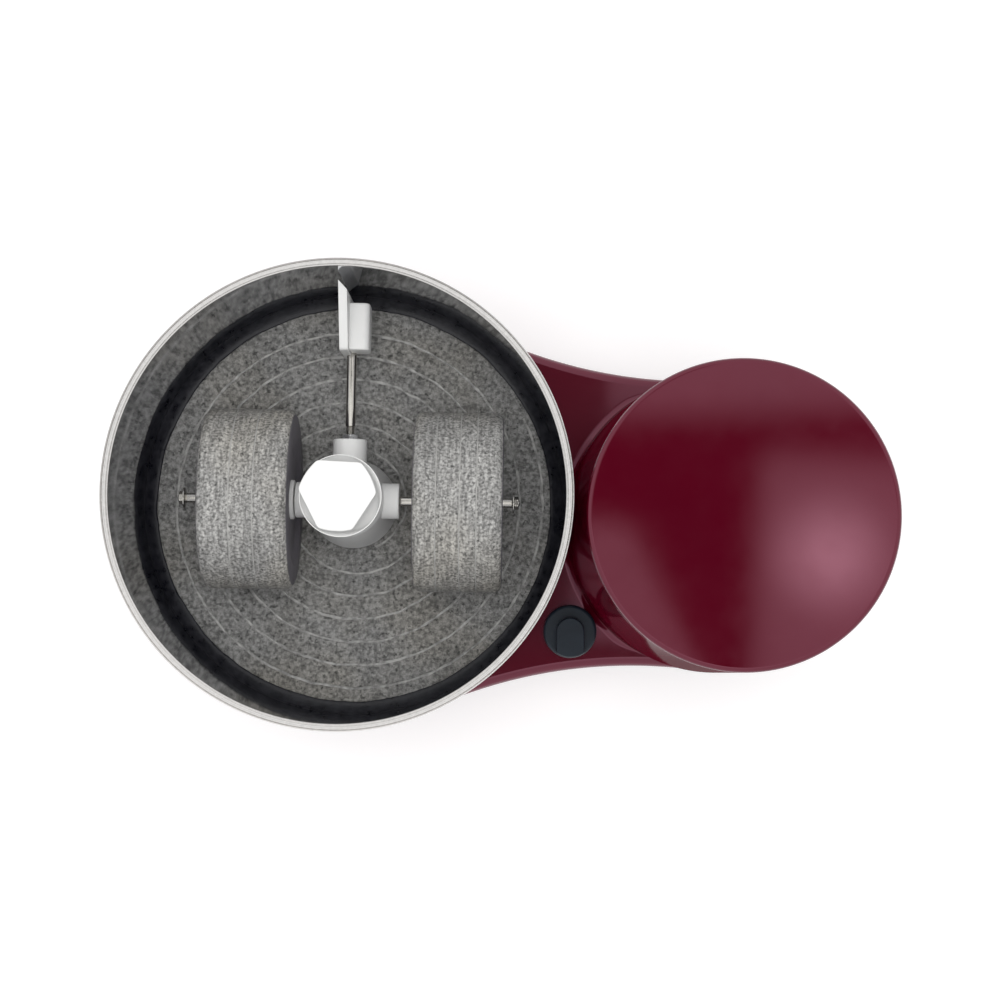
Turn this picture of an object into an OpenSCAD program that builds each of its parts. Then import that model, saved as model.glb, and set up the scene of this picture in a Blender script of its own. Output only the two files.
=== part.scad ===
// Tabletop wet grinder: a steel drum with a granite bed turns under two granite roller stones,
// driven by a belt from an induction motor that stands upright in the tower beside it.
// Millimetres, +Z up. The origin is the middle of the footprint, on the table.

/* [Housing] */
// Distance from the drum's axis to the motor tower's axis
axis_gap = 232; // [228:1:236]
// Radius of the round base under the drum
base_r = 139; // [137:0.5:142]
// Radius of the motor tower at its foot
tower_foot_r = 95.5; // [94:0.5:98]
// Radius of the motor tower at its top
tower_top_r = 89.5; // [88:0.5:91]
// Height of the tower's top
tower_z = 268; // [262:1:274]
// Radius of each hollow side of the neck
neck_r = 320; // [300:5:340]
// Height of the deck
deck_z = 95; // [94:0.5:96]
// Radius of the deck's rounded edge
deck_round = 6; // [4:0.5:8]
// Height of the housing's lower edge
skirt_z = 7; // [6:0.5:8]
// Thickness of the housing's wall
wall = 3; // [2.5:0.25:3.5]
// Height of the tower's lid
lid_h = 10; // [8:0.5:12]
// Height of the low round step in the deck under the drum
step_h = 3; // [2:0.5:3.5]

/* [Drum] */
// Height of the drum's rim
rim_z = 268; // [264:1:272]
// Radius of the rim over its rolled bead
rim_r = 135; // [134:0.5:136]
// Radius of the rolled bead's section
bead_r = 2.3; // [2:0.1:2.6]
// Reach of the rolled bead inside the drum's wall
bead_over = 1.8; // [1.2:0.1:2.1]
// Thickness of the drum's sheet steel
sheet = 0.8; // [0.6:0.1:1]
// Height of the drum's underside
drum_floor_z = 101; // [100.5:0.5:102]
// Height of the granite bed's face
bed_z = 127; // [126:0.5:129]
// Radius of the granite bed
bed_r = 125.2; // [124:0.1:126]
// Step from one turn of the bed's spiral groove to the next
groove_pitch = 14.5; // [12:0.5:16]
// Width of the spiral groove
groove_w = 1; // [0.8:0.1:1.5]
// Depth of the spiral groove
groove_d = 0.6; // [0.4:0.1:1]
// Height of the dark sealing fillet on the wall above the bed
seal_h = 4; // [3:0.5:6]
// Radius of the steel column in the middle of the drum
column_r = 16; // [15:0.5:17]

/* [Roller set] */
// Radius of the roller stones
stone_r = 54.6; // [53:0.1:55]
// Width of the roller stones
stone_w = 53.5; // [52:0.5:54]
// Gap between the stones and the bed
stone_gap = 0.4; // [0.3:0.1:1]
// Angle from the housing's long line to the axles
axle_turn = 2; // [0:0.5:4]
// Radius of the axles and of the scraper's rod
axle_r = 3; // [2.9:0.1:3.1]
// Distance from the drum's axis to the left axle's outer shoulder
left_reach = 98.9; // [98:0.1:100]
// Distance from the drum's axis to the right axle's outer shoulder
right_reach = 100.3; // [99:0.1:101]
// Distance from the drum's axis to the left stone's inner side
left_in = 32; // [31.8:0.1:36]
// Distance from the drum's axis to the right stone's inner side
right_in = 40.9; // [36:0.1:43]
// Reach of the hub's two axle sockets from its axis
socket_reach = 31.5; // [30:0.5:31.5]
// Radius of the hub's lower skirt
hub_foot_r = 27.8; // [27:0.1:29]
// Drop from the axles to the scraper's rod
rod_drop = 10; // [9:0.5:11]
// Height of the locking cap's top
cap_z = 266; // [264:0.5:268]
// Radius of the locking cap's collar
cap_r = 24; // [23:0.5:25]
// Distance from the locking cap's axis to the top edge of its finger flats
cap_flat = 18.7; // [18:0.1:19.5]
// Angle of the cap's first finger flat from the housing's long line
cap_turn = 89.7; // [85:0.1:95]

/* [Scraper] */
// Height of the scraper blade's upper edge at its outer end
blade_z = 222; // [215:1:226]
// Fall of the blade's upper edge from its outer to its inner end
blade_fall = 19; // [14:1:22]
// Thickness of the scraper blade
blade_t = 5.2; // [5:0.1:5.6]
// Distance from the drum's axis to the blade's inner edge
blade_in = 89.7; // [88:0.1:92]
// Gap between the blade and the rim's bead
blade_gap = 1.2; // [1:0.1:2]
// Height of the scraper's sleeve over the middle of its rod
sleeve_rise = 20; // [17:0.5:22]
// Reach of the sleeve to the right of its rod
sleeve_reach = 11.7; // [10:0.1:12.5]

/* [Knob] */
// Radius of the control knob
knob_r = 17.2; // [16.5:0.1:18]
// Distance of the knob from the drum's axis along the housing
knob_out = 141.7; // [140:0.5:143]
// Distance of the knob from the housing's long line
knob_side = 73.5; // [72:0.5:74]
// Angle of the knob's grip from the long line
knob_turn = 92.85; // [88:0.05:96]

/* [Drive] */
// Radius of the large pulley under the drum
pulley_r = 98; // [96:1:99]
// Radius of the small pulley on the motor
small_pulley_r = 14; // [13:0.5:15]
// Height of the belt's middle
belt_z = 69.5; // [69:0.5:70]
// Width of the belt
belt_w = 10; // [9:0.5:10]
// Thickness of the belt
belt_t = 3.5; // [3:0.25:3.5]
// Radius of the motor's core
motor_r = 60; // [58:1:60]

/* [Hidden] */
$fn = 64;
overall_l = base_r + axis_gap + tower_foot_r;
drum_x = base_r - overall_l / 2;
tower_x = drum_x + axis_gap;

// Centre of the neck's hollow curve, which meets the round base smoothly and cuts a little into the tower
tower_lap = 0.8;
neck_to_drum = neck_r + base_r;
neck_to_tower = neck_r + tower_foot_r - tower_lap;
neck_x = (neck_to_drum ^ 2 - neck_to_tower ^ 2 + axis_gap ^ 2) / (2 * axis_gap);
neck_y = sqrt(neck_to_drum ^ 2 - neck_x ^ 2);
deck_under = deck_z - wall;
lid_z = tower_z - lid_h;
plate_z = 9;
plate_t = 2.5;
plate_top = plate_z + plate_t;

bead_ring = rim_r - bead_r;
bead_in_r = bead_ring - bead_r;
drum_in_r = bead_in_r + bead_over;
drum_out_r = drum_in_r + sheet;
drum_corner = 8;
stone_z = drum_floor_z + sheet + 2;
column_in_r = 12.5;
column_z = 175;

axle_z = bed_z + stone_gap + stone_r;
rod_z = axle_z - rod_drop;
bush_r = 12;
hub_top = 236;
shaft_r = 6;
run = 0.05;
axle_in = 9;
socket_r_axle = 10.8;
socket_r_rod = 10.4;
hub_neck_r = 20;
neck_thread_r = 2.6;
thread_r = 2;
washer_t = 1;
nut_t = 2.7;
rod_in = 22;
rod_socket = 37.9;
rod_out = 117.5;
blade_out = bead_in_r - blade_gap;
blade_clear = 1.5;
sleeve_in = blade_in + 1.5;
sleeve_out = 119.8;

spindle_r = 10;
bearing_r = 21;
bearing_h = 12;
ball_r = 2.6;
ball_ring_r = 15.5;
bearing_low = 20;
bearing_high = 43;
collar_z = bearing_high + bearing_h;
grub_z = collar_z + 7.5;
coupler_z = 81;
coupler_top = 92;
dog_top = 99;
dog_w = 8;
dog_reach = 21;
dog_slack = 0.5;
dog_angles = [0, 120, 240];
socket_screw_angles = [60, 180, 300];
socket_screw_ring = 26.5;
socket_r = 31;
deck_hole_r = 34;
step_r = 108;
gland_seat = tower_foot_r - 1.7;
gland_z = 30;
gland_side = 20;
gland_hole_r = 7;
gland_lip_r = 9.5;
cord_r = 3.6;
hollow_z = 60;
hollow_slack = 0.8;
knob_hole_r = 5.2;
vent_z = 120;
vent_h = 62;
vent_w = 3.2;
vent_angles = [-40:8:40];
boss_r = 5;
boss_hole_r = 1.7;
boss_hole_h = 14;
wall_boss_top = 50;
lid_seam = 0.3;
quarters = [0:90:270];
diagonals = [45:90:315];
screw_hole_r = 2.2;
bolt_hole_r = 2.7;
bearing_bolt_ring = 40;

knob_x = drum_x + knob_out;
knob_y = -knob_side;

capacitor_x = drum_x - 82;
capacitor_r = 17.5;
capacitor_z = plate_top + capacitor_r + 0.5;

motor_plate_z = 87;
motor_plate_t = 3;
bell_z = motor_plate_z + motor_plate_t;
core_z = bell_z + 14;
core_h = 50;
core_top = core_z + core_h;
bell_top = core_top + 18;
rotor_r = 31.5;
rotor_shaft_r = 6;
motor_bolt_ring = 66;
post_ring = 70;
fan_z = bell_top + 4;

// Angles of the screws and feet, about the drum's axis and about the tower's axis
drum_screws = [66, 115, 165, 195, 245, 294];
tower_screws = [-62, 0, 62];
drum_screw_ring = base_r - 10;
tower_screw_ring = tower_foot_r - 10.5;
drum_feet = [75, 180, 285];
tower_feet = [-30, 30];
drum_feet_ring = 112;
tower_feet_ring = 76;
foot_r = 12;

maroon = [0.33, 0.02, 0.08];
steel = [0.72, 0.73, 0.74];
polished = [0.8, 0.81, 0.82];
cast = [0.62, 0.63, 0.64];
dark_steel = [0.35, 0.36, 0.37];
rubber = [0.07, 0.07, 0.08];
nylon = [0.93, 0.93, 0.91];
granite = [0.4, 0.4, 0.38];
pale_granite = [0.62, 0.62, 0.6];
slate = [0.13, 0.16, 0.2];
copper = [0.72, 0.42, 0.24];

// Points on an arc, from one angle up to the next stretch's first point
function arc(cx, cy, r, a0, a1, n) =
    [for (i = [0:n - 1]) let (a = a0 + (a1 - a0) * i / n) [cx + r * cos(a), cy + r * sin(a)]];

// Points on an arc with both its ends
function full_arc(cx, cy, r, a0, a1, n) =
    [for (i = [0:n]) let (a = a0 + (a1 - a0) * i / n) [cx + r * cos(a), cy + r * sin(a)]];

// Half the width that the neck's block has before its hollow sides are cut
function neck_half(inset) = neck_y * (base_r - inset) / neck_to_drum - 0.7;

// Radius of the tower's outside at a height
function tower_r(z) = tower_foot_r - (tower_foot_r - tower_top_r) * (z - deck_z) / (tower_z - deck_z);

// The housing's plan, drawn in from its edge by an even distance
module plan(inset) {
    difference() {
        union() {
            translate([drum_x, 0])
            circle(r = base_r - inset);
            translate([tower_x, 0])
            circle(r = tower_foot_r - inset);
            translate([drum_x, -neck_half(inset)])
            square([axis_gap, 2 * neck_half(inset)]);
        }
        for (side = [-1, 1]) {
            translate([drum_x + neck_x, side * neck_y])
            circle(r = neck_r + inset);
        }
    }
}

module at_drum(z = 0) {
    translate([drum_x, 0, z])
    children();
}

module at_tower(z = 0) {
    translate([tower_x, 0, z])
    children();
}

// The drum's axis with +X along the axles
module at_hub() {
    translate([drum_x, 0, 0])
    rotate([0, 0, axle_turn])
    children();
}

// A child drawn along +Z is laid along the axle line; side is 1 for right and -1 for left
module along_axle(side) {
    at_hub()
    translate([0, 0, axle_z])
    rotate([0, side * 90, 0])
    children();
}

// A child drawn along +Z is laid along the scraper's rod
module along_rod() {
    at_hub()
    translate([0, 0, rod_z])
    rotate([-90, 0, 0])
    children();
}

module rod(r, z0, z1) {
    translate([0, 0, z0])
    cylinder(r = r, h = z1 - z0);
}

module tube(r_out, r_in, z0, z1) {
    difference() {
        rod(r_out, z0, z1);
        rod(r_in, z0 - 1, z1 + 1);
    }
}

module hex_nut(across, bore, z0, z1) {
    difference() {
        translate([0, 0, z0])
        cylinder(r = across / sqrt(3), h = z1 - z0, $fn = 6);
        rod(bore, z0 - 1, z1 + 1);
    }
}

// Repeats a child at a radius for each angle in a list
module spread(angles, r) {
    for (a = angles) {
        rotate([0, 0, a])
        translate([r, 0, 0])
        children();
    }
}

// A wire along straight runs between points
module wire(points, r) {
    for (i = [0:len(points) - 2]) {
        d = points[i + 1] - points[i];
        flat = norm([d[0], d[1]]);
        translate(points[i])
        rotate([0, atan2(flat, d[2]), atan2(d[1], d[0])])
        cylinder(r = r, h = norm(d));
    }
    for (i = [1:len(points) - 2]) {
        translate(points[i])
        sphere(r = r * 1.06);
    }
}

// Housing: the round base, the neck and the tower are one moulding, open below
module base_housing() {
    color(maroon)
    union() {
        difference() {
            union() {
                base_block();
                neck_block();
                tower_block();
            }
            translate([0, 0, skirt_z - 1])
            linear_extrude(deck_under - skirt_z + 1)
            plan(wall);
            tower_hollow();
            at_drum()
            rod(deck_hole_r, deck_under - 1, deck_z + step_h + 1);
            translate([knob_x, knob_y, deck_under - 1])
            cylinder(r = knob_hole_r, h = wall + 2);
            tower_vents();
            at_gland()
            rod(gland_hole_r, gland_seat - 20, gland_seat + 1);
            at_gland()
            rod(gland_lip_r + 0.5, gland_seat, gland_seat + 10);
        }
        housing_bosses();
    }
}

// A child drawn along +Z is laid along the cord gland's line, out through the tower's back
module at_gland() {
    at_tower(gland_z)
    rotate([-90, 0, 0])
    translate([gland_side, 0, 0])
    children();
}

module base_block() {
    at_drum()
    rotate_extrude()
    polygon(concat(
        [[0, skirt_z], [base_r, skirt_z]],
        full_arc(base_r - deck_round, deck_z - deck_round, deck_round, 0, 90, 6),
        [[step_r + 2, deck_z], [step_r + 1, deck_z + step_h - 1], [step_r, deck_z + step_h]],
        [[0, deck_z + step_h]]
    ));
}

// The neck's block, cut by two turned shapes that leave its deck edge rounded
module neck_block() {
    difference() {
        translate([drum_x, -neck_half(0), skirt_z])
        cube([axis_gap, 2 * neck_half(0), deck_z - skirt_z]);
        for (side = [-1, 1]) {
            translate([drum_x + neck_x, side * neck_y, 0])
            rotate_extrude()
            polygon(concat(
                [[0, skirt_z - 1], [neck_r, skirt_z - 1]],
                full_arc(neck_r + deck_round, deck_z - deck_round, deck_round, 180, 90, 6),
                [[neck_r + deck_round, deck_z + 1], [0, deck_z + 1]]
            ));
        }
    }
}

module tower_block() {
    at_tower()
    rotate_extrude()
    polygon([
        [0, skirt_z], [tower_foot_r, skirt_z], [tower_foot_r, deck_z],
        [tower_r(lid_z), lid_z], [0, lid_z]
    ]);
}

module tower_hollow() {
    low_r = tower_foot_r - wall - hollow_slack;
    high_r = tower_r(lid_z) - wall;
    at_tower()
    rotate_extrude()
    polygon([
        [0, hollow_z], [low_r, hollow_z], [low_r, deck_z],
        [high_r, lid_z - 1], [high_r, lid_z + 1], [0, lid_z + 1]
    ]);
}

module tower_vents() {
    at_tower(vent_z)
    for (a = vent_angles) {
        rotate([0, 0, a])
        translate([tower_top_r - 12, -vent_w / 2, 0])
        cube([30, vent_w, vent_h]);
    }
}

// Screw bosses that stand down from the deck to the base plate
module housing_bosses() {
    difference() {
        union() {
            at_drum()
            spread(drum_screws, drum_screw_ring)
            rod(boss_r, plate_top, deck_under + 1);
            at_tower()
            spread(tower_screws, tower_screw_ring)
            boss_on_wall();
        }
        at_drum()
        spread(drum_screws, drum_screw_ring)
        rod(boss_hole_r, plate_top - 1, plate_top + boss_hole_h);
        at_tower()
        spread(tower_screws, tower_screw_ring)
        rod(boss_hole_r, plate_top - 1, plate_top + boss_hole_h);
    }
}

module boss_on_wall() {
    rod(boss_r, plate_top, wall_boss_top);
    translate([0, -wall / 2, plate_top])
    cube([9, wall, wall_boss_top - plate_top]);
}

module tower_lid() {
    top_round = 3;
    color(maroon)
    at_tower()
    union() {
        rotate_extrude()
        polygon(concat(
            [[0, tower_z - wall], [tower_top_r - 12, tower_z - wall]],
            [[tower_r(lid_z) - wall, tower_z - 2 * wall], [tower_r(lid_z) - wall, lid_z + lid_seam]],
            [[tower_r(lid_z), lid_z + lid_seam]],
            full_arc(tower_top_r - top_round, tower_z - top_round, top_round, 0, 90, 8),
            [[0, tower_z]]
        ));
        tube(tower_r(lid_z) - wall - lid_seam, tower_r(lid_z) - 2 * wall, lid_z - 8, tower_z - wall + 0.5);
    }
}

module base_plate() {
    color(steel)
    difference() {
        translate([0, 0, plate_z])
        linear_extrude(plate_t)
        plan(wall + 0.5);
        at_drum()
        rod(shaft_r + run, plate_z - 1, plate_top + 1);
        at_drum()
        spread(drum_screws, drum_screw_ring)
        rod(screw_hole_r, plate_z - 1, plate_top + 1);
        at_tower()
        spread(tower_screws, tower_screw_ring)
        rod(screw_hole_r, plate_z - 1, plate_top + 1);
        at_drum()
        spread(drum_feet, drum_feet_ring)
        rod(screw_hole_r, plate_z - 1, plate_top + 1);
        at_tower()
        spread(tower_feet, tower_feet_ring)
        rod(screw_hole_r, plate_z - 1, plate_top + 1);
        at_drum()
        spread(diagonals, bearing_bolt_ring)
        rod(bolt_hole_r, plate_z - 1, plate_top + 1);
        at_tower()
        spread(diagonals, post_ring)
        rod(bolt_hole_r, plate_z - 1, plate_top + 1);
        plate_vents();
    }
}

module plate_vents() {
    at_tower(plate_z - 1)
    for (i = [-3:3]) {
        translate([i * 9 - 2, -24, 0])
        cube([4, 48, plate_t + 2]);
    }
}

module rubber_feet() {
    color(rubber)
    union() {
        at_drum()
        spread(drum_feet, drum_feet_ring)
        rubber_foot();
        at_tower()
        spread(tower_feet, tower_feet_ring)
        rubber_foot();
    }
}

module rubber_foot() {
    difference() {
        rotate_extrude()
        polygon([[0, 0], [foot_r - 1, 0], [foot_r, 1], [foot_r - 1.5, plate_z], [0, plate_z]]);
        rod(4.5, -1, 5);
        rod(screw_hole_r, 0, plate_z + 1);
    }
}

module case_screws() {
    color(dark_steel)
    union() {
        at_drum()
        spread(drum_screws, drum_screw_ring)
        plate_screw();
        at_tower()
        spread(tower_screws, tower_screw_ring)
        plate_screw();
        at_drum()
        spread(drum_feet, drum_feet_ring)
        foot_screw();
        at_tower()
        spread(tower_feet, tower_feet_ring)
        foot_screw();
    }
}

module plate_screw() {
    difference() {
        union() {
            rod(4, plate_z - 2.2, plate_z);
            rod(1.65, plate_z - 0.5, plate_top + 12);
        }
        cross_slot(plate_z - 2.2);
    }
}

module foot_screw() {
    difference() {
        union() {
            rod(3.9, 2.8, 5);
            rod(2.1, 4.5, plate_top + 5);
            hex_nut(7, 2, plate_top, plate_top + 3.2);
        }
        cross_slot(2.8);
    }
}

module cross_slot(z) {
    for (a = [0, 90]) {
        rotate([0, 0, a])
        translate([-2, -0.4, z - 1])
        cube([4, 0.8, 2.2]);
    }
}

// Drum drive, fixed pieces
module bearing_housing() {
    color(cast)
    at_drum()
    difference() {
        union() {
            rod(50, plate_top, plate_top + 6);
            rod(27, plate_top + 5, collar_z + 2);
            for (a = quarters) {
                rotate([0, 0, a])
                bearing_rib();
            }
        }
        rod(shaft_r + run, plate_top - 1, bearing_low + 1);
        rod(bearing_r, bearing_low, bearing_low + bearing_h);
        rod(17.2, bearing_low + bearing_h - 1, bearing_high + 1);
        rod(bearing_r, bearing_high, collar_z + 3);
        spread(diagonals, bearing_bolt_ring)
        rod(bolt_hole_r, plate_top - 1, plate_top + 7);
    }
}

module bearing_rib() {
    rotate([90, 0, 0])
    translate([0, 0, -2.5])
    linear_extrude(5)
    polygon([[24, plate_top + 5], [46, plate_top + 5], [26, 44], [24, 44]]);
}

module bearing_screws() {
    color(dark_steel)
    at_drum()
    spread(diagonals, bearing_bolt_ring)
    union() {
        hex_nut(8, 2.5, plate_top + 6, plate_top + 10);
        rod(2.6, plate_z - 0.2, plate_top + 12);
        rod(4.5, plate_z - 3.2, plate_z);
    }
}

module bearing_outer_rings() {
    color(polished)
    at_drum()
    for (z = [bearing_low, bearing_high]) {
        difference() {
            tube(bearing_r, 17.5, z, z + bearing_h);
            ball_track(z + bearing_h / 2, ball_r + 0.12);
        }
    }
}

module ball_track(z, r) {
    translate([0, 0, z])
    rotate_extrude()
    translate([ball_ring_r, 0])
    circle(r = r);
}

module centre_shaft() {
    flat_z = 200;
    flat_half = 4.5;
    color(polished)
    at_hub()
    union() {
        rod(shaft_r, 4.5, flat_z);
        intersection() {
            rod(shaft_r, flat_z - 1, hub_top);
            translate([-shaft_r - 1, -flat_half, flat_z - 2])
            cube([2 * shaft_r + 2, 2 * flat_half, hub_top]);
        }
        rod(4.4, hub_top - 1, hub_top + 14);
    }
}

module shaft_nut() {
    color(dark_steel)
    at_hub()
    union() {
        hex_nut(18, shaft_r, 3.5, 8);
        tube(11, shaft_r, 8, plate_z);
    }
}

module deck_seal() {
    color(rubber)
    at_drum()
    rotate_extrude()
    polygon([
        [deck_hole_r - 1, deck_under + 2], [deck_hole_r, deck_under + 2],
        [deck_hole_r, deck_z + step_h], [deck_hole_r + 5, deck_z + step_h],
        [deck_hole_r + 4, deck_z + step_h + 1], [deck_hole_r, deck_z + step_h + 2],
        [deck_hole_r - 1, deck_z + step_h + 2]
    ]);
}

// Motor, fixed pieces
module motor_plate() {
    color(steel)
    at_tower()
    difference() {
        rod(78, motor_plate_z, bell_z);
        rod(25, motor_plate_z - 1, bell_z + 1);
        spread(diagonals, post_ring)
        rod(4.1, motor_plate_z - 1, bell_z + 1);
        spread(quarters, motor_bolt_ring)
        rod(bolt_hole_r, motor_plate_z - 1, bell_z + 1);
    }
}

module motor_posts() {
    color(steel)
    at_tower()
    spread(diagonals, post_ring)
    union() {
        translate([0, 0, plate_top])
        cylinder(r = 5.5, h = motor_plate_z - 4 - plate_top, $fn = 6);
        rod(2.5, plate_z - 0.2, plate_top + 1);
        rod(4.5, plate_z - 3, plate_z);
        rod(2.5, motor_plate_z - 5, bell_z + 8);
    }
}

module motor_dampers() {
    color(rubber)
    at_tower()
    spread(diagonals, post_ring)
    union() {
        tube(8, 2.5, motor_plate_z - 4, motor_plate_z);
        tube(4.1, 2.5, motor_plate_z - 0.5, bell_z + 0.5);
        tube(8, 2.5, bell_z, bell_z + 4);
    }
}

module motor_lower_bell() {
    color(cast)
    at_tower()
    difference() {
        union() {
            rod(motor_r - 1, bell_z, core_z);
            spread(quarters, motor_bolt_ring)
            bell_ear(bell_z);
        }
        rod(motor_r - 4, bell_z + 3, core_z + 1);
        rod(10, bell_z - 1, bell_z + 4);
        spread(quarters, motor_bolt_ring)
        rod(2.6, bell_z - 1, core_z + 1);
    }
}

module bell_ear(z) {
    rod(6, z, z + 6);
    translate([-12, -6, z])
    cube([12, 12, 6]);
}

module motor_upper_bell() {
    color(cast)
    at_tower()
    difference() {
        union() {
            rod(motor_r - 1, core_top, bell_top);
            spread(quarters, motor_bolt_ring)
            bell_ear(bell_top - 6);
        }
        rod(motor_r - 4, core_top - 1, bell_top - 3);
        rod(10, bell_top - 4, bell_top + 1);
        spread(quarters, motor_bolt_ring)
        rod(2.6, core_top - 1, bell_top + 1);
        spread([30:60:330], 36)
        rod(7, bell_top - 4, bell_top + 1);
    }
}

module stator_core() {
    color(dark_steel)
    at_tower()
    tube(motor_r, rotor_r + 0.5, core_z, core_top);
}

module stator_windings() {
    color(copper)
    at_tower()
    for (z = [core_z - 9.5, core_top]) {
        rotate_extrude()
        polygon([[37, z], [51, z], [54, z + 4], [51, z + 9.5], [37, z + 9.5], [35, z + 4]]);
    }
}

module motor_bolts() {
    color(steel)
    at_tower()
    spread(quarters, motor_bolt_ring)
    union() {
        rod(2.5, motor_plate_z - 6, bell_top + 1);
        rod(4.4, bell_top, bell_top + 3.5);
        hex_nut(8, 2.5, motor_plate_z - 4, motor_plate_z);
    }
}

module motor_bushes() {
    color([0.7, 0.55, 0.3])
    at_tower()
    union() {
        tube(10, rotor_shaft_r + run, bell_z, bell_z + 8);
        tube(10, rotor_shaft_r + run, bell_top - 8, bell_top);
    }
}

// The belt's path: two arcs and the straight runs between them
function belt_loop(grow) =
    let (lean = acos((pulley_r - small_pulley_r) / axis_gap))
    concat(
        full_arc(drum_x, 0, pulley_r + grow, lean, 360 - lean, 60),
        full_arc(tower_x, 0, small_pulley_r + grow, -lean, lean, 20)
    );

module drive_belt() {
    clear = 0.35;
    color(rubber)
    translate([0, 0, belt_z - belt_w / 2])
    linear_extrude(belt_w)
    difference() {
        polygon(belt_loop(clear + belt_t));
        polygon(belt_loop(clear));
    }
}

module capacitor() {
    color([0.85, 0.86, 0.87])
    translate([capacitor_x, 0, capacitor_z])
    rotate([90, 0, 0])
    union() {
        rod(capacitor_r, -32, 32);
        translate([0, 5, 0])
        rod(2, 31, 37);
        translate([0, -5, 0])
        rod(2, 31, 37);
    }
}

module capacitor_strap() {
    strap_in = capacitor_r + 0.2;
    strap_out = strap_in + 1.5;
    strap_w = 12;
    foot_reach = 25.5;
    color(steel)
    translate([capacitor_x, 0, 0])
    difference() {
        union() {
            translate([0, -strap_w / 2, capacitor_z])
            rotate([-90, 0, 0])
            rod(strap_out, 0, strap_w);
            translate([-strap_out, -strap_w / 2, plate_top])
            cube([2 * strap_out, strap_w, capacitor_z - plate_top]);
            translate([-foot_reach, -strap_w / 2, plate_top])
            cube([2 * foot_reach, strap_w, 1.6]);
        }
        translate([0, -strap_w, capacitor_z])
        rotate([-90, 0, 0])
        rod(strap_in, 0, 2 * strap_w);
        translate([-strap_in, -strap_w, plate_top - 5])
        cube([2 * strap_in, 2 * strap_w, capacitor_z - plate_top + 5]);
        for (x = [-22, 22]) {
            translate([x, 0, 0])
            rod(1.8, plate_top - 1, plate_top + 3);
        }
    }
}

module switch_body() {
    body_half = 12;
    body_z = 62;
    color(rubber)
    translate([knob_x, knob_y, 0])
    difference() {
        union() {
            translate([-body_half, -body_half, body_z])
            cube([2 * body_half, 2 * body_half, deck_under - body_z - 0.2]);
            rod(5, deck_under - 1, deck_z + 1.5);
            hex_nut(13, 4.9, deck_z, deck_z + 1.8);
            for (x = [-8, 8]) {
                translate([x - 3, -0.4, body_z - 8])
                cube([6, 0.8, 9]);
            }
        }
        rod(axle_r + run, body_z + 8, deck_z + 3);
    }
}

module terminal_block() {
    color(nylon)
    translate([tower_x + 4, 67, plate_top])
    difference() {
        translate([-20, -9, 0])
        cube([40, 18, 14]);
        for (x = [-13.5, -4.5, 4.5, 13.5]) {
            translate([x, -5, 0])
            rod(2.2, 6, 15);
            translate([x, 5, 0])
            rod(2.2, 6, 15);
        }
        rod(1.8, -1, 15);
    }
}

module wire_leads() {
    low = plate_top + 3;
    lead_r = 1.5;
    block_top = plate_top + 14;
    winding_z = core_z - 6;
    color([0.6, 0.1, 0.1])
    union() {
        wire([
            [tower_x - 16.4, 63, low + 3], [tower_x - 60, 66, low], [tower_x - 70, 30, low],
            [tower_x - 70, -50, low], [knob_x + 8, knob_y + 10, low], [knob_x + 8, knob_y, 40],
            [knob_x + 8, knob_y, 53.8]
        ], lead_r);
        wire([
            [knob_x - 8, knob_y, 53.8], [knob_x - 8, knob_y, 30], [knob_x - 20, knob_y + 20, low],
            [drum_x + 70, -60, low], [drum_x - 40, -70, low], [capacitor_x, -60, low + 10],
            [capacitor_x, -42, capacitor_z], [capacitor_x, -37.2, capacitor_z]
        ], lead_r);
        wire([
            [tower_x + 8.5, 62, block_top - 6], [tower_x + 8.5, 62, 50], [tower_x + 8.5, 80, 60],
            [tower_x + 8.5, 80, winding_z], [tower_x + 8.5, 59.6, winding_z]
        ], lead_r);
    }
}

module cord_gland() {
    color(rubber)
    at_gland()
    difference() {
        union() {
            rod(gland_hole_r - 0.1, gland_seat - 9, gland_seat + 1);
            rod(gland_lip_r, gland_seat, gland_seat + 3.5);
            rod(9, gland_seat - 12.5, gland_seat - 8.5);
        }
        rod(cord_r, gland_seat - 13, gland_seat + 4);
    }
}

// Drum drive, turning pieces
module drive_spindle() {
    color(polished)
    at_drum()
    tube_with_collar();
}

module tube_with_collar() {
    difference() {
        union() {
            rod(spindle_r, bearing_low + 0.5, 103);
            rod(spindle_r + 3.4, collar_z, collar_z + 4);
        }
        rod(6.6, bearing_low - 1, 104);
    }
}

module bearing_inner_rings() {
    color(polished)
    at_drum()
    for (z = [bearing_low, bearing_high]) {
        difference() {
            tube(13.5, spindle_r, z + 0.6, z + bearing_h);
            ball_track(z + bearing_h / 2, ball_r + 0.02);
        }
    }
}

module bearing_balls() {
    color(polished)
    at_drum()
    for (z = [bearing_low, bearing_high]) {
        spread([0:40:320], ball_ring_r)
        translate([0, 0, z + bearing_h / 2])
        sphere(r = ball_r, $fn = 32);
    }
}

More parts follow.
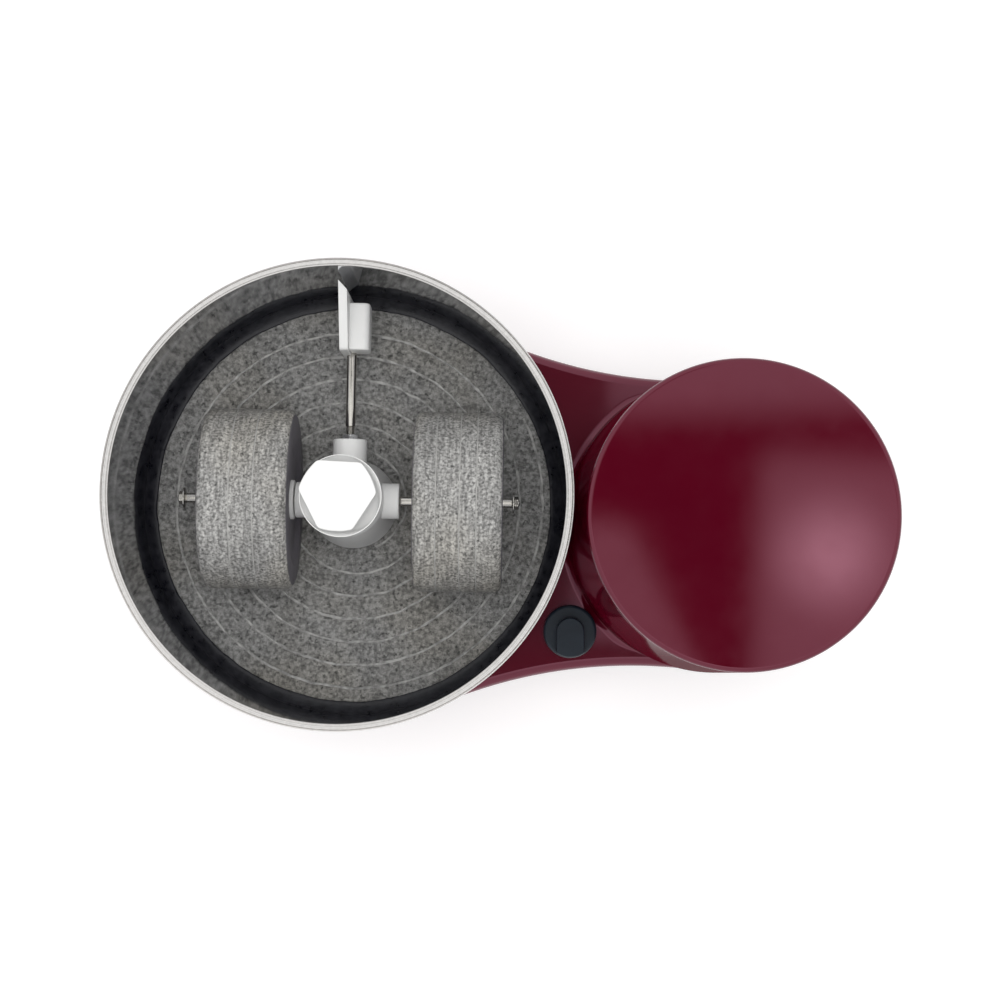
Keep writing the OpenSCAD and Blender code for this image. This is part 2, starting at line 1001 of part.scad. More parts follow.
module large_pulley() {
    face = belt_w / 2 + 0.5;
    web_half = 3;
    flange = 3;
    flange_t = 2;
    hub_r = 20;
    color(cast)
    at_drum()
    difference() {
        rotate_extrude()
        polygon([
            [spindle_r, collar_z + 4], [hub_r, collar_z + 4], [hub_r, belt_z - web_half],
            [pulley_r - 7, belt_z - web_half], [pulley_r - 5, belt_z - face - flange_t],
            [pulley_r + flange, belt_z - face - flange_t], [pulley_r + flange, belt_z - face],
            [pulley_r, belt_z - face], [pulley_r, belt_z + face],
            [pulley_r + flange, belt_z + face], [pulley_r + flange, belt_z + face + flange_t],
            [pulley_r - 5, belt_z + face + flange_t], [pulley_r - 7, belt_z + web_half],
            [hub_r, belt_z + web_half], [hub_r, coupler_z], [spindle_r, coupler_z]
        ]);
        spread([0:60:300], 56)
        rod(17, belt_z - 8, belt_z + 8);
        for (a = [30, 150, 270]) {
            rotate([0, 0, a])
            translate([0, 0, grub_z])
            rotate([0, 90, 0])
            rod(2.5, spindle_r - 1, 22);
        }
    }
}

module pulley_screws() {
    color(dark_steel)
    at_drum()
    for (a = [30, 150, 270]) {
        rotate([0, 0, a])
        translate([0, 0, grub_z])
        rotate([0, 90, 0])
        rod(2.45, spindle_r + 0.1, 19.5);
    }
}

module drive_coupler() {
    color(cast)
    at_drum()
    difference() {
        union() {
            rod(22, coupler_z, coupler_top);
            for (a = dog_angles) {
                rotate([0, 0, a])
                translate([0, -dog_w / 2, coupler_top - 1])
                cube([dog_reach, dog_w, dog_top - coupler_top + 1]);
            }
        }
        rod(spindle_r, coupler_z - 1, dog_top + 1);
    }
}

// Drum: its wall ends in a rolled bead that overhangs it on both sides
module drum_shell() {
    floor_in = 14;
    r_in_corner = drum_corner - sheet;
    outer_meet = -acos((drum_out_r - bead_ring) / bead_r);
    inner_meet = 360 - acos((drum_in_r - bead_ring) / bead_r);
    color(polished)
    at_drum()
    rotate_extrude()
    polygon(concat(
        [[floor_in, drum_floor_z]],
        full_arc(drum_out_r - drum_corner, drum_floor_z + drum_corner, drum_corner, -90, 0, 8),
        full_arc(bead_ring, rim_z - bead_r, bead_r, outer_meet, inner_meet, 20),
        full_arc(drum_in_r - r_in_corner, drum_floor_z + drum_corner, r_in_corner, 0, -90, 8),
        [[floor_in, drum_floor_z + sheet]]
    ));
}

module drum_socket() {
    color(cast)
    at_drum()
    difference() {
        rod(socket_r, coupler_top + 0.1, drum_floor_z);
        rod(spindle_r + 0.6, coupler_top - 1, drum_floor_z + 1);
        for (a = dog_angles) {
            rotate([0, 0, a])
            translate([0, -dog_w / 2 - dog_slack, coupler_top - 1])
            cube([dog_reach + 1, dog_w + 2 * dog_slack, dog_top + 1 - coupler_top + 1]);
        }
        spread(socket_screw_angles, socket_screw_ring)
        rod(2.1, coupler_top - 1, drum_floor_z + 1);
    }
}

module socket_screws() {
    color(dark_steel)
    at_drum()
    spread(socket_screw_angles, socket_screw_ring)
    rod(2, coupler_top + 1.2, drum_floor_z);
}

module centre_column() {
    color(polished)
    at_drum()
    difference() {
        union() {
            rod(30, drum_floor_z + sheet, stone_z);
            rod(column_r, drum_floor_z + sheet, column_z);
        }
        rod(column_in_r, drum_floor_z, column_z + 1);
    }
}

module stone_bedding() {
    color([0.75, 0.74, 0.7])
    at_drum()
    tube(118, 30.3, drum_floor_z + sheet, stone_z);
}

// Radius of the bed's spiral groove at an angle that counts on through its turns
function groove_r(a) = 43.5 + groove_pitch * (a - 272.85) / 360;

module bed_stone() {
    first = -60;
    last = 2190;
    n = 225;
    inner = [for (i = [0:n]) let (a = first + (last - first) * i / n)
        (groove_r(a) - groove_w / 2) * [cos(a), sin(a)]];
    outer = [for (i = [n:-1:0]) let (a = first + (last - first) * i / n)
        (groove_r(a) + groove_w / 2) * [cos(a), sin(a)]];
    color(granite)
    at_drum()
    difference() {
        rotate_extrude()
        polygon([
            [column_r + 0.3, stone_z], [bed_r, stone_z], [bed_r, bed_z - 1], [bed_r - 1, bed_z],
            [column_r + 1.5, bed_z], [column_r + 0.3, bed_z - 1]
        ]);
        translate([0, 0, bed_z - groove_d])
        linear_extrude(groove_d + 1)
        polygon(concat(inner, outer));
    }
}

// The seal fills the gap beside the bed and runs up the wall in a low hollow curve
module seal_ring() {
    gap = drum_in_r - bed_r;
    under = stone_z + 0.5;
    curve = 1.6;
    color(rubber)
    at_drum()
    rotate_extrude()
    polygon(concat(
        [[bed_r, under], [drum_in_r - 4, under], [drum_in_r, under + 5.5]],
        [[drum_in_r, bed_z + seal_h]],
        [for (t = [0.2:0.2:0.8]) [drum_in_r - gap * t, bed_z + seal_h * (1 - t) ^ curve]],
        [[bed_r, bed_z]]
    ));
}

// Roller set
module roller_hub() {
    color(nylon)
    at_hub()
    difference() {
        union() {
            rotate_extrude()
            polygon([
                [0, bed_z + 4], [hub_foot_r - 0.6, bed_z + 4], [hub_foot_r, bed_z + 4.6],
                [hub_foot_r, bed_z + 10], [25, rod_z - 4], [22.4, axle_z + 12],
                [hub_neck_r, axle_z + 17], [hub_neck_r, hub_top - 1], [hub_neck_r - 1, hub_top], [0, hub_top]
            ]);
            translate([0, 0, axle_z])
            rotate([0, 90, 0])
            rod(socket_r_axle, -socket_reach, socket_reach);
            translate([0, 0, rod_z])
            rotate([-90, 0, 0])
            rod(socket_r_rod, 0, rod_socket);
        }
        rod(19, bed_z, column_z + 1.5);
        rod(shaft_r + 0.4, column_z, 201);
        hub_keyway();
        translate([0, 0, axle_z])
        rotate([0, 90, 0])
        rod(axle_r, axle_in, socket_reach + 1);
        translate([0, 0, axle_z])
        rotate([0, -90, 0])
        rod(axle_r, axle_in, socket_reach + 1);
        translate([0, 0, rod_z])
        rotate([-90, 0, 0])
        rod(axle_r, rod_in, rod_socket + 1);
    }
}

// The flat-sided hole that keeps the hub from turning with the drum
module hub_keyway() {
    intersection() {
        rod(shaft_r + 0.1, 199, hub_top + 1);
        translate([-shaft_r - 1, -4.6, 198])
        cube([2 * shaft_r + 2, 9.2, hub_top]);
    }
}

function axle_reach(side) = side < 0 ? left_reach : right_reach;

module axle(side) {
    reach = axle_reach(side);
    along_axle(side)
    union() {
        rod(axle_r, axle_in, reach);
        rod(thread_r, reach - 1, reach + washer_t + nut_t + 0.6);
    }
}

module left_axle() {
    color(polished)
    axle(-1);
}

module right_axle() {
    color(polished)
    axle(1);
}

module axle_washers() {
    color(polished)
    for (side = [-1, 1]) {
        along_axle(side)
        tube(6.4, thread_r, axle_reach(side), axle_reach(side) + washer_t);
    }
}

module axle_nuts() {
    color(polished)
    for (side = [-1, 1]) {
        along_axle(side)
        hex_nut(7, thread_r, axle_reach(side) + washer_t, axle_reach(side) + washer_t + nut_t);
    }
}

module scraper_rod() {
    color(polished)
    along_rod()
    union() {
        rod(neck_thread_r, rod_in, rod_socket + 9);
        rod(axle_r, rod_in, rod_socket);
        rod(axle_r, rod_socket + 8, rod_out);
    }
}

module rod_nut() {
    color(polished)
    along_rod()
    hex_nut(9, neck_thread_r, rod_socket, rod_socket + 3);
}

// A roller stone along +Z from its inner side: rounded edges, dished sides
module roller_stone(inner) {
    edge = 3.3;
    dish_r = 40;
    dish = 2.5;
    difference() {
        rotate_extrude()
        polygon(concat(
            [[bush_r, inner + dish], [dish_r - 8, inner + dish], [dish_r, inner]],
            full_arc(stone_r - edge, inner + edge, edge, -90, 0, 6),
            full_arc(stone_r - edge, inner + stone_w - edge, edge, 0, 90, 6),
            [[dish_r, inner + stone_w], [dish_r - 8, inner + stone_w - dish]],
            [[bush_r, inner + stone_w - dish]]
        ));
        rod(bush_r, inner - 1, inner + stone_w + 1);
    }
}

module stone_bush(inner) {
    tube(bush_r, axle_r + run, inner + 0.3, inner + stone_w - 0.3);
}

module left_stone() {
    color(pale_granite)
    along_axle(-1)
    roller_stone(left_in);
}

module left_stone_bush() {
    color(nylon)
    along_axle(-1)
    stone_bush(left_in);
}

module right_stone() {
    color(pale_granite)
    along_axle(1)
    roller_stone(right_in);
}

module right_stone_bush() {
    color(nylon)
    along_axle(1)
    stone_bush(right_in);
}

// Locking cap: a round collar under a body with three shallow curved sides and three hollow finger flats
module lock_cap() {
    foot = hub_top + 0.5;
    collar = foot + 6;
    bevel = 0.8;
    body_r = cap_r - 1.6;
    top_round = 1.4;
    flat_drop = cap_z - collar;
    hollow_r = 35.8;
    hollow_up = flat_drop - 4;
    hollow_x = cap_flat + sqrt(hollow_r ^ 2 - (flat_drop - hollow_up) ^ 2);
    color(nylon)
    at_drum()
    rotate([0, 0, cap_turn])
    difference() {
        union() {
            rotate_extrude()
            polygon([
                [0, foot], [cap_r - bevel, foot], [cap_r, foot + bevel], [cap_r, collar - bevel],
                [cap_r - bevel, collar], [0, collar]
            ]);
            intersection() {
                rotate_extrude()
                polygon(concat(
                    [[0, collar - 1], [body_r + 0.6, collar - 1]],
                    full_arc(body_r - top_round, cap_z - top_round, top_round, 0, 90, 5),
                    [[0, cap_z]]
                ));
                cap_side(60, collar);
                cap_side(180, collar);
                cap_side(300, collar);
            }
        }
        for (a = [0, 120, 240]) {
            rotate([0, 0, a])
            translate([hollow_x, 0, collar + hollow_up])
            rotate([90, 0, 0])
            rod(hollow_r, -30, 30);
        }
        rod(4.5, foot - 1, hub_top + 16);
    }
}

// A wide upright cone, whose edge is one of the locking cap's shallow curved sides
module cap_side(angle, collar) {
    side_r = 37;
    side_half = 21.3;
    spread_out = 0.7;
    rotate([0, 0, angle])
    translate([side_half - side_r, 0, collar - 1])
    cylinder(r1 = side_r + spread_out, r2 = side_r, h = cap_z - collar + 1);
}

// The blade hangs on the left of its rod and has a bevelled outer edge
module scraper_blade() {
    blade_side = 2.9;
    left_face = -blade_side - blade_t / 2;
    color(nylon)
    difference() {
        union() {
            at_hub()
            rotate([90, 0, 90])
            translate([0, 0, left_face])
            linear_extrude(blade_t)
            blade_outline();
            along_rod()
            scraper_sleeve();
        }
        along_rod()
        rod(axle_r + run, blade_in - 1, rod_out + 0.3);
        at_hub()
        translate([left_face, blade_out, bed_z])
        rotate([0, 0, 45])
        translate([0, -8, 0])
        cube([12, 16, 120]);
    }
}

// The blade's side view: its lower inner corner is cut away in a wide curve
module blade_outline() {
    low_r = 28;
    top_r = 3;
    low = bed_z + blade_clear;
    inner_z = blade_z - blade_fall;
    polygon(concat(
        full_arc(blade_in + top_r, inner_z - top_r, top_r, 110, 180, 4),
        full_arc(blade_in + low_r, low + low_r, low_r, 180, 270, 10),
        [[bed_r - 1, low]],
        [[blade_out, bed_z + seal_h + blade_clear], [blade_out, blade_z]]
    ));
}

// The sleeve is a rounded block round the rod that stands above it and reaches out to its right
module scraper_sleeve() {
    left = 4.5;
    low_r = 6;
    top_r = 4.5;
    translate([0, 0, sleeve_in])
    linear_extrude(sleeve_out - sleeve_in)
    polygon(concat(
        full_arc(low_r - left, 0, low_r, 180, 90, 6),
        full_arc(sleeve_reach - low_r, 0, low_r, 90, 0, 6),
        full_arc(sleeve_reach - top_r, top_r - sleeve_rise, top_r, 0, -90, 6),
        [[1 - left, -sleeve_rise], [-left, 1 - sleeve_rise]]
    ));
}

// Motor, turning pieces
module rotor_core() {
    color(cast)
    at_tower()
    difference() {
        union() {
            rod(rotor_r, core_z + 1, core_top - 1);
            rod(28, core_z - 6, core_top + 6);
        }
        rod(rotor_shaft_r, core_z - 7, core_top + 7);
    }
}

module rotor_shaft() {
    color(polished)
    at_tower()
    rod(rotor_shaft_r, 58, fan_z + 14);
}

module cooling_fan() {
    color(slate)
    at_tower()
    difference() {
        union() {
            rod(12, fan_z, fan_z + 12);
            tube(54, 11, fan_z, fan_z + 2);
            for (a = [0:45:315]) {
                rotate([0, 0, a])
                translate([11, -1, fan_z + 1])
                cube([42, 2, 11]);
            }
        }
        rod(rotor_shaft_r, fan_z - 1, fan_z + 13);
    }
}

module motor_pulley() {
    face = belt_w / 2 + 0.5;
    color(cast)
    at_tower()
    rotate_extrude()
    polygon([
        [rotor_shaft_r, belt_z - face - 2], [small_pulley_r + 3, belt_z - face - 2],
        [small_pulley_r + 3, belt_z - face], [small_pulley_r, belt_z - face],
        [small_pulley_r, belt_z + face], [small_pulley_r + 3, belt_z + face],
        [small_pulley_r + 3, belt_z + face + 2], [11, belt_z + face + 2],
        [11, belt_z + face + 6], [rotor_shaft_r, belt_z + face + 6]
    ]);
}

// Knob
module control_knob() {
    foot = deck_z + 2.2;
    skirt_top = foot + 8;
    grip_top = foot + 17;
    grip_half = 9;
    color(slate)
    translate([knob_x, knob_y, 0])
    rotate([0, 0, knob_turn])
    difference() {
        union() {
            rotate_extrude()
            polygon(concat(
                [[0, foot], [knob_r, foot]],
                full_arc(knob_r - 2, skirt_top - 2, 2, 10, 90, 5),
                [[0, skirt_top]]
            ));
            intersection() {
                rod(knob_r - 0.9, skirt_top - 1, grip_top);
                union() {
                    rod(grip_half, skirt_top - 1, grip_top);
                    translate([-knob_r, -grip_half, skirt_top - 1])
                    cube([knob_r, 2 * grip_half, grip_top - skirt_top + 1]);
                }
            }
        }
        rod(8.2, foot - 1, foot + 3);
        rod(axle_r, foot - 1, foot + 12);
    }
}

module switch_spindle() {
    color(steel)
    translate([knob_x, knob_y, 0])
    rod(axle_r, 71, deck_z + 14);
}

base_housing();
tower_lid();
base_plate();
rubber_feet();
case_screws();
bearing_housing();
bearing_screws();
bearing_outer_rings();
centre_shaft();
shaft_nut();
deck_seal();
motor_plate();
motor_posts();
motor_dampers();
motor_lower_bell();
motor_upper_bell();
stator_core();
stator_windings();
motor_bolts();
motor_bushes();
drive_belt();
capacitor();
capacitor_strap();
switch_body();
terminal_block();
wire_leads();
cord_gland();
drive_spindle();
bearing_inner_rings();
bearing_balls();
large_pulley();
pulley_screws();
drive_coupler();
drum_shell();
drum_socket();
socket_screws();
centre_column();
stone_bedding();
bed_stone();
seal_ring();
roller_hub();
left_axle();
right_axle();
axle_washers();
axle_nuts();
scraper_rod();
rod_nut();
left_stone();
left_stone_bush();
right_stone();
right_stone_bush();
lock_cap();
scraper_blade();
rotor_core();
rotor_shaft();
cooling_fan();
motor_pulley();
control_knob();
switch_spindle();
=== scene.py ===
import math

import bmesh
import bpy
from mathutils import Euler, Matrix, Vector, geometry, noise


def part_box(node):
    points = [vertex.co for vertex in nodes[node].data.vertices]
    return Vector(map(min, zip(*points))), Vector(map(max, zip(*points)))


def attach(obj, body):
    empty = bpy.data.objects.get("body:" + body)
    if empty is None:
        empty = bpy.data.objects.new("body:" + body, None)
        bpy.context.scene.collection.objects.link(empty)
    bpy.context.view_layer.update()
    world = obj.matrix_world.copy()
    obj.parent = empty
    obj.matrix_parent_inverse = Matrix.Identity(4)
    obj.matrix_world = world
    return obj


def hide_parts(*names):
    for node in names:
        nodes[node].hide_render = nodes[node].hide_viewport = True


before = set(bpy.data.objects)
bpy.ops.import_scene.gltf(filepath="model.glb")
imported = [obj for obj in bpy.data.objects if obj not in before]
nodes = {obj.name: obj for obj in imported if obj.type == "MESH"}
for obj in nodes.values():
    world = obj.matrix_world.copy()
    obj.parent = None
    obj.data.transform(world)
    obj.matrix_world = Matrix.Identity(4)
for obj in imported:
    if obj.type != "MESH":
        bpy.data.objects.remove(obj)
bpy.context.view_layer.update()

MM = 0.001

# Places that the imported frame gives
drum_low, drum_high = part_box("drum_shell")
lid_low, lid_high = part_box("tower_lid")
knob_low, knob_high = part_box("control_knob")
drum_x = (drum_low.x + drum_high.x) / 2
tower_x = (lid_low.x + lid_high.x) / 2
knob_x = (knob_low.x + knob_high.x) / 2
knob_y = (knob_low.y + knob_high.y) / 2

# Housing, in metres like everything here
BASE_R = 139 * MM
TOWER_FOOT_R = 95.5 * MM
TOWER_TOP_R = 89.5 * MM
TOWER_Z = 268 * MM
LID_Z = 258 * MM
DECK_Z = 95 * MM
DECK_ROUND = 6 * MM
SKIRT_Z = 7 * MM
WALL = 3 * MM
NECK_R = 320 * MM
TOWER_LAP = 0.8 * MM
STEP_R = 108 * MM
STEP_H = 3 * MM
STEP_SLOPE = 2 * MM
DECK_HOLE_R = 34 * MM
FOOT_FILLET = 5 * MM
VENT_LOW = 120 * MM
VENT_HIGH = 182 * MM
VENT_W = 3.2 * MM

# Drum
RIM_Z = 268 * MM
RIM_R = 135 * MM
BEAD_R = 2.3 * MM
BEAD_OVER = 1.8 * MM
SHEET = 0.8 * MM
DRUM_FLOOR_Z = 101 * MM
DRUM_CORNER = 8 * MM
BEAD_IN_R = RIM_R - 2 * BEAD_R
DRUM_IN_R = BEAD_IN_R + BEAD_OVER
DRUM_OUT_R = DRUM_IN_R + SHEET
BED_Z = 127 * MM
BED_R = 125.2 * MM
STONE_Z = 103.8 * MM
GROOVE_PITCH = 14.5 * MM
GROOVE_W = 1.4 * MM
GROOVE_D = 0.6 * MM
GROOVE_FIRST = -60
GROOVE_LAST = 2190
SEAL_H = 4 * MM
COLUMN_R = 16 * MM

# Roller set
AXLE_TURN = math.radians(2)
AXLE_Z = 182 * MM
ROD_Z = 172 * MM
AXLE_R = 3 * MM
STONE_R = 54.6 * MM
STONE_W = 53.5 * MM
LEFT_IN = 32 * MM
RIGHT_IN = 40.9 * MM
BUSH_R = 12 * MM
HUB_TOP = 236 * MM
ROD_SOCKET = 37.9 * MM
ROD_OUT = 117.5 * MM
SOCKET_REACH = 31.5 * MM
LEFT_REACH = 98.9 * MM
RIGHT_REACH = 100.3 * MM
AXLE_IN = 9 * MM
WASHER_R = 6.4 * MM
WASHER_T = 1.0 * MM
NUT_ACROSS = 7 * MM
NUT_T = 2.7 * MM
THREAD_R = 2 * MM
ROD_IN = 22 * MM
ROD_NUT_ACROSS = 9 * MM
ROD_THREAD_R = 2.6 * MM
AXLE_SOCKET_R = 10.8 * MM
ROD_SOCKET_R = 10.4 * MM
HUB_FOOT_Z = BED_Z + 4 * MM
HUB_FOOT_R = 27.8 * MM
HUB_FOOT_IN_R = 19 * MM
HUB_WAIST_R = 25 * MM
HUB_SHOULDER_R = 22.4 * MM
HUB_NECK_R = 20 * MM
CAP_R = 24 * MM
CAP_Z = 266 * MM
CAP_FLAT = 18.7 * MM
CAP_TURN = math.radians(89.7)
BLADE_Z = 222 * MM
BLADE_FALL = 19 * MM
BLADE_T = 5.2 * MM
BLADE_LEFT = -5.5 * MM
BLADE_IN = 89.7 * MM
BLADE_OUT = BEAD_IN_R - 1.2 * MM
BLADE_CLEAR = 1.5 * MM
SLEEVE_RISE = 20 * MM
SLEEVE_REACH = 11.7 * MM
SLEEVE_IN = BLADE_IN + 1.5 * MM
SLEEVE_OUT = 119.8 * MM
KNOB_R = 17.2 * MM
KNOB_BORE_R = 8.2 * MM
KNOB_GAP = 2.2 * MM
KNOB_TURN = math.radians(92.85)

hub_frame = Matrix.Translation((drum_x, 0, 0)) @ Matrix.Rotation(AXLE_TURN, 4, "Z")
drum_frame = Matrix.Translation((drum_x, 0, 0))
tower_frame = Matrix.Translation((tower_x, 0, 0))


# Mesh helpers

def arc(cx, cy, r, start, end, steps):
    """Points on an arc, angles in degrees, both ends included."""
    turn = [math.radians(start + (end - start) * i / steps) for i in range(steps + 1)]
    return [(cx + r * math.cos(a), cy + r * math.sin(a)) for a in turn]


def rounded(points, steps=4):
    """A profile whose corners (x, y, radius) are turned into arcs."""
    out = []
    for i, point in enumerate(points):
        x, y = point[0], point[1]
        radius = point[2] if len(point) > 2 else 0
        if not radius or i in (0, len(points) - 1):
            out.append((x, y))
            continue
        here = Vector((x, y))
        back = (Vector(points[i - 1][:2]) - here)
        on = (Vector(points[i + 1][:2]) - here)
        half = back.angle(on) / 2
        reach = min(radius / math.tan(half), 0.49 * back.length, 0.49 * on.length)
        radius = reach * math.tan(half)
        middle = here + (back.normalized() + on.normalized()).normalized() * radius / math.sin(half)
        first = here + back.normalized() * reach - middle
        last = here + on.normalized() * reach - middle
        sweep = first.angle_signed(last)
        for k in range(steps + 1):
            a = -sweep * k / steps
            turned = Vector((first.x * math.cos(a) - first.y * math.sin(a),
                             first.x * math.sin(a) + first.y * math.cos(a)))
            out.append(tuple(middle + turned))
    return out


def revolve(bm, profile, steps, place=None, closed=False, wobble=None):
    """Turns a profile of (radius, height) about Z and adds it to bm."""
    place = place or Matrix()
    rings = []
    for r, z in profile:
        if r < 1e-7:
            rings.append([bm.verts.new(place @ Vector((0, 0, z)))] * steps)
            continue
        ring = []
        for i in range(steps):
            a = 2 * math.pi * i / steps
            rr, zz = wobble(a, r, z) if wobble else (r, z)
            ring.append(bm.verts.new(place @ Vector((rr * math.cos(a), rr * math.sin(a), zz))))
        rings.append(ring)
    pairs = list(zip(rings, rings[1:]))
    if closed:
        pairs.append((rings[-1], rings[0]))
    for low, high in pairs:
        for i in range(steps):
            j = (i + 1) % steps
            corners = []
            for v in (low[i], low[j], high[j], high[i]):
                if v not in corners:
                    corners.append(v)
            if len(corners) > 2:
                bm.faces.new(corners)


def join_rings(bm, low, high):
    """A face between each pair of neighbours in two rings of points."""
    for i in range(len(low)):
        j = (i + 1) % len(low)
        bm.faces.new((low[i], low[j], high[j], high[i]))


def prism(bm, outline, low, high, place=None):
    """A straight block of an outline of (x, y) from one height to another."""
    place = place or Matrix()
    bottom = [bm.verts.new(place @ Vector((x, y, low))) for x, y in outline]
    top = [bm.verts.new(place @ Vector((x, y, high))) for x, y in outline]
    bm.faces.new(list(reversed(bottom)))
    bm.faces.new(top)
    join_rings(bm, bottom, top)


def soften(bm, width, segments, angle):
    """Rounds the edges that are sharper than an angle."""
    bmesh.ops.recalc_face_normals(bm, faces=bm.faces)
    limit = math.radians(angle)
    picked = [e for e in bm.edges if len(e.link_faces) == 2 and e.calc_face_angle(0) > limit]
    bmesh.ops.bevel(bm, geom=picked, offset=width, segments=segments, profile=0.5, affect="EDGES",
                    clamp_overlap=True)


LEVEL = 0.99999


def level_normals(mesh, angle):
    """Level faces keep their own normal; the others weigh each corner's by area, so no flat looks domed."""
    limit = math.cos(angle)
    normals = [face.normal.copy() for face in mesh.polygons]
    areas = [face.area for face in mesh.polygons]
    level = [abs(normal.z) > LEVEL for normal in normals]
    sides = [set() for _ in mesh.edges]
    for face in mesh.polygons:
        for corner in face.loop_indices:
            sides[mesh.loops[corner].edge_index].add(level[face.index])
    for edge, kinds in zip(mesh.edges, sides):
        edge.use_edge_sharp = edge.use_edge_sharp or len(kinds) > 1
    users = [[] for _ in mesh.vertices]
    for face in mesh.polygons:
        for corner in face.vertices:
            users[corner].append(face.index)
    wanted = []
    for face in mesh.polygons:
        own = normals[face.index]
        for corner in face.vertices:
            if level[face.index]:
                wanted.append(own)
                continue
            total = Vector()
            for other in users[corner]:
                if own.dot(normals[other]) > limit:
                    total += normals[other] * areas[other]
            wanted.append(total.normalized())
    mesh.normals_split_custom_set(wanted)


def piece(name, bm, looks, body, replaced, place=None, sharp=32, level=False):
    """Turns a bmesh into an object that rides on a body and stands for CAD nodes."""
    bmesh.ops.remove_doubles(bm, verts=bm.verts, dist=0.01 * MM)
    bmesh.ops.recalc_face_normals(bm, faces=bm.faces)
    mesh = bpy.data.meshes.new(name)
    bm.to_mesh(mesh)
    bm.free()
    for look in looks:
        mesh.materials.append(LOOKS[look])
    mesh.shade_smooth()
    mesh.set_sharp_from_angle(angle=math.radians(sharp))
    if level:
        level_normals(mesh, math.radians(sharp))
    obj = bpy.data.objects.new(name, mesh)
    bpy.context.scene.collection.objects.link(obj)
    if place:
        obj.matrix_world = place
    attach(obj, body)
    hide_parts(*replaced)


# Material helpers

class Nodes:
    """Short calls for the procedural nodes of one node tree."""

    def __init__(self, tree):
        self.tree = tree
        self.place = tree.nodes.new("ShaderNodeTexCoord").outputs["Object"]

    def node(self, kind, **values):
        made = self.tree.nodes.new("ShaderNode" + kind)
        for key, value in values.items():
            setattr(made, key, value)
        return made

    def link(self, source, target):
        """Links a socket to an input, or sets the input to a number or a colour."""
        if isinstance(source, (int, float)):
            target.default_value = source
        elif isinstance(source, tuple):
            target.default_value = (*source, 1)
        else:
            self.tree.links.new(source, target)

    def fill(self, made, **sources):
        """Links or sets a node's inputs by name, with _ for a space."""
        for name, source in sources.items():
            self.link(source, made.inputs[name.replace("_", " ")])
        return made

    def stretch(self, scale):
        """The object's own coordinates, scaled along each axis."""
        mapping = self.node("Mapping")
        mapping.inputs["Scale"].default_value = scale
        self.link(self.place, mapping.inputs["Vector"])
        return mapping.outputs["Vector"]

    def noise(self, scale, detail=3.0, rough=0.55, place=None):
        made = self.node("TexNoise")
        self.fill(made, Scale=scale, Detail=detail, Roughness=rough, Vector=place or self.place)
        return made.outputs["Fac"]

    def cells(self, scale):
        return self.fill(self.node("TexVoronoi"), Scale=scale, Vector=self.place).outputs["Distance"]

    def remap(self, value, low, high, to_low=0.0, to_high=1.0, smooth=False):
        made = self.node("MapRange")
        made.interpolation_type = "SMOOTHSTEP" if smooth else "LINEAR"
        self.fill(made, Value=value, From_Min=low, From_Max=high, To_Min=to_low, To_Max=to_high)
        return made.outputs["Result"]

    def maths(self, operation, *values):
        made = self.node("Math", operation=operation)
        for value, target in zip(values, made.inputs):
            self.link(value, target)
        return made.outputs["Value"]

    def mix(self, share, a, b):
        """A colour between two; each is a colour or a socket."""
        made = self.node("Mix", data_type="RGBA")
        ends = [socket for socket in made.inputs if socket.type == "RGBA"]
        for value, target in zip((share, a, b), [made.inputs["Factor"]] + ends):
            self.link(value, target)
        return [socket for socket in made.outputs if socket.type == "RGBA"][0]

    def times(self, colour, factor):
        """A colour made lighter or darker by a factor."""
        made = self.node("VectorMath", operation="SCALE")
        self.link(colour, made.inputs[0])
        self.link(factor, made.inputs["Scale"])
        return made.outputs[0]


class Surface(Nodes):
    """A material with one main shader."""

    def __init__(self, name, colour, metallic=0.0, roughness=0.5):
        self.material = bpy.data.materials.new(name)
        self.material.use_nodes = True
        super().__init__(self.material.node_tree)
        self.shader = self.tree.nodes["Principled BSDF"]
        self.set(Base_Color=colour, Metallic=metallic, Roughness=roughness)

    def set(self, **sources):
        """Links or sets the main shader's inputs."""
        self.fill(self.shader, **sources)

    def tones(self, pattern, dark, light, low=0.3, high=0.7):
        """Colours the surface between two tones that follow a pattern."""
        self.set(Base_Color=self.mix(self.remap(pattern, low, high), dark, light))

    def sheen(self, pattern, smooth, rough):
        """Lets the roughness follow a pattern."""
        self.set(Roughness=self.remap(pattern, 0.3, 0.7, smooth, rough))

    def bump(self, height, distance, strength=1.0):
        made = self.fill(self.node("Bump"), Strength=strength, Distance=distance, Height=height)
        self.set(Normal=made.outputs["Normal"])


def scaled(colour, factor):
    return tuple(c * factor for c in colour)


# Materials, one function each

MAROON = (0.078, 0.0012, 0.0085)
NYLON = (0.90, 0.90, 0.885)
BED_GREY = (0.226, 0.224, 0.217)
ROLLER_GREY = (0.318, 0.314, 0.304)
SIDE_SHADE_GREY = (0.150, 0.140, 0.160)
SLATE = (0.0085, 0.0145, 0.0225)
WALL_STEEL = (0.60, 0.605, 0.63)
RIM_STEEL = (0.73, 0.715, 0.70)


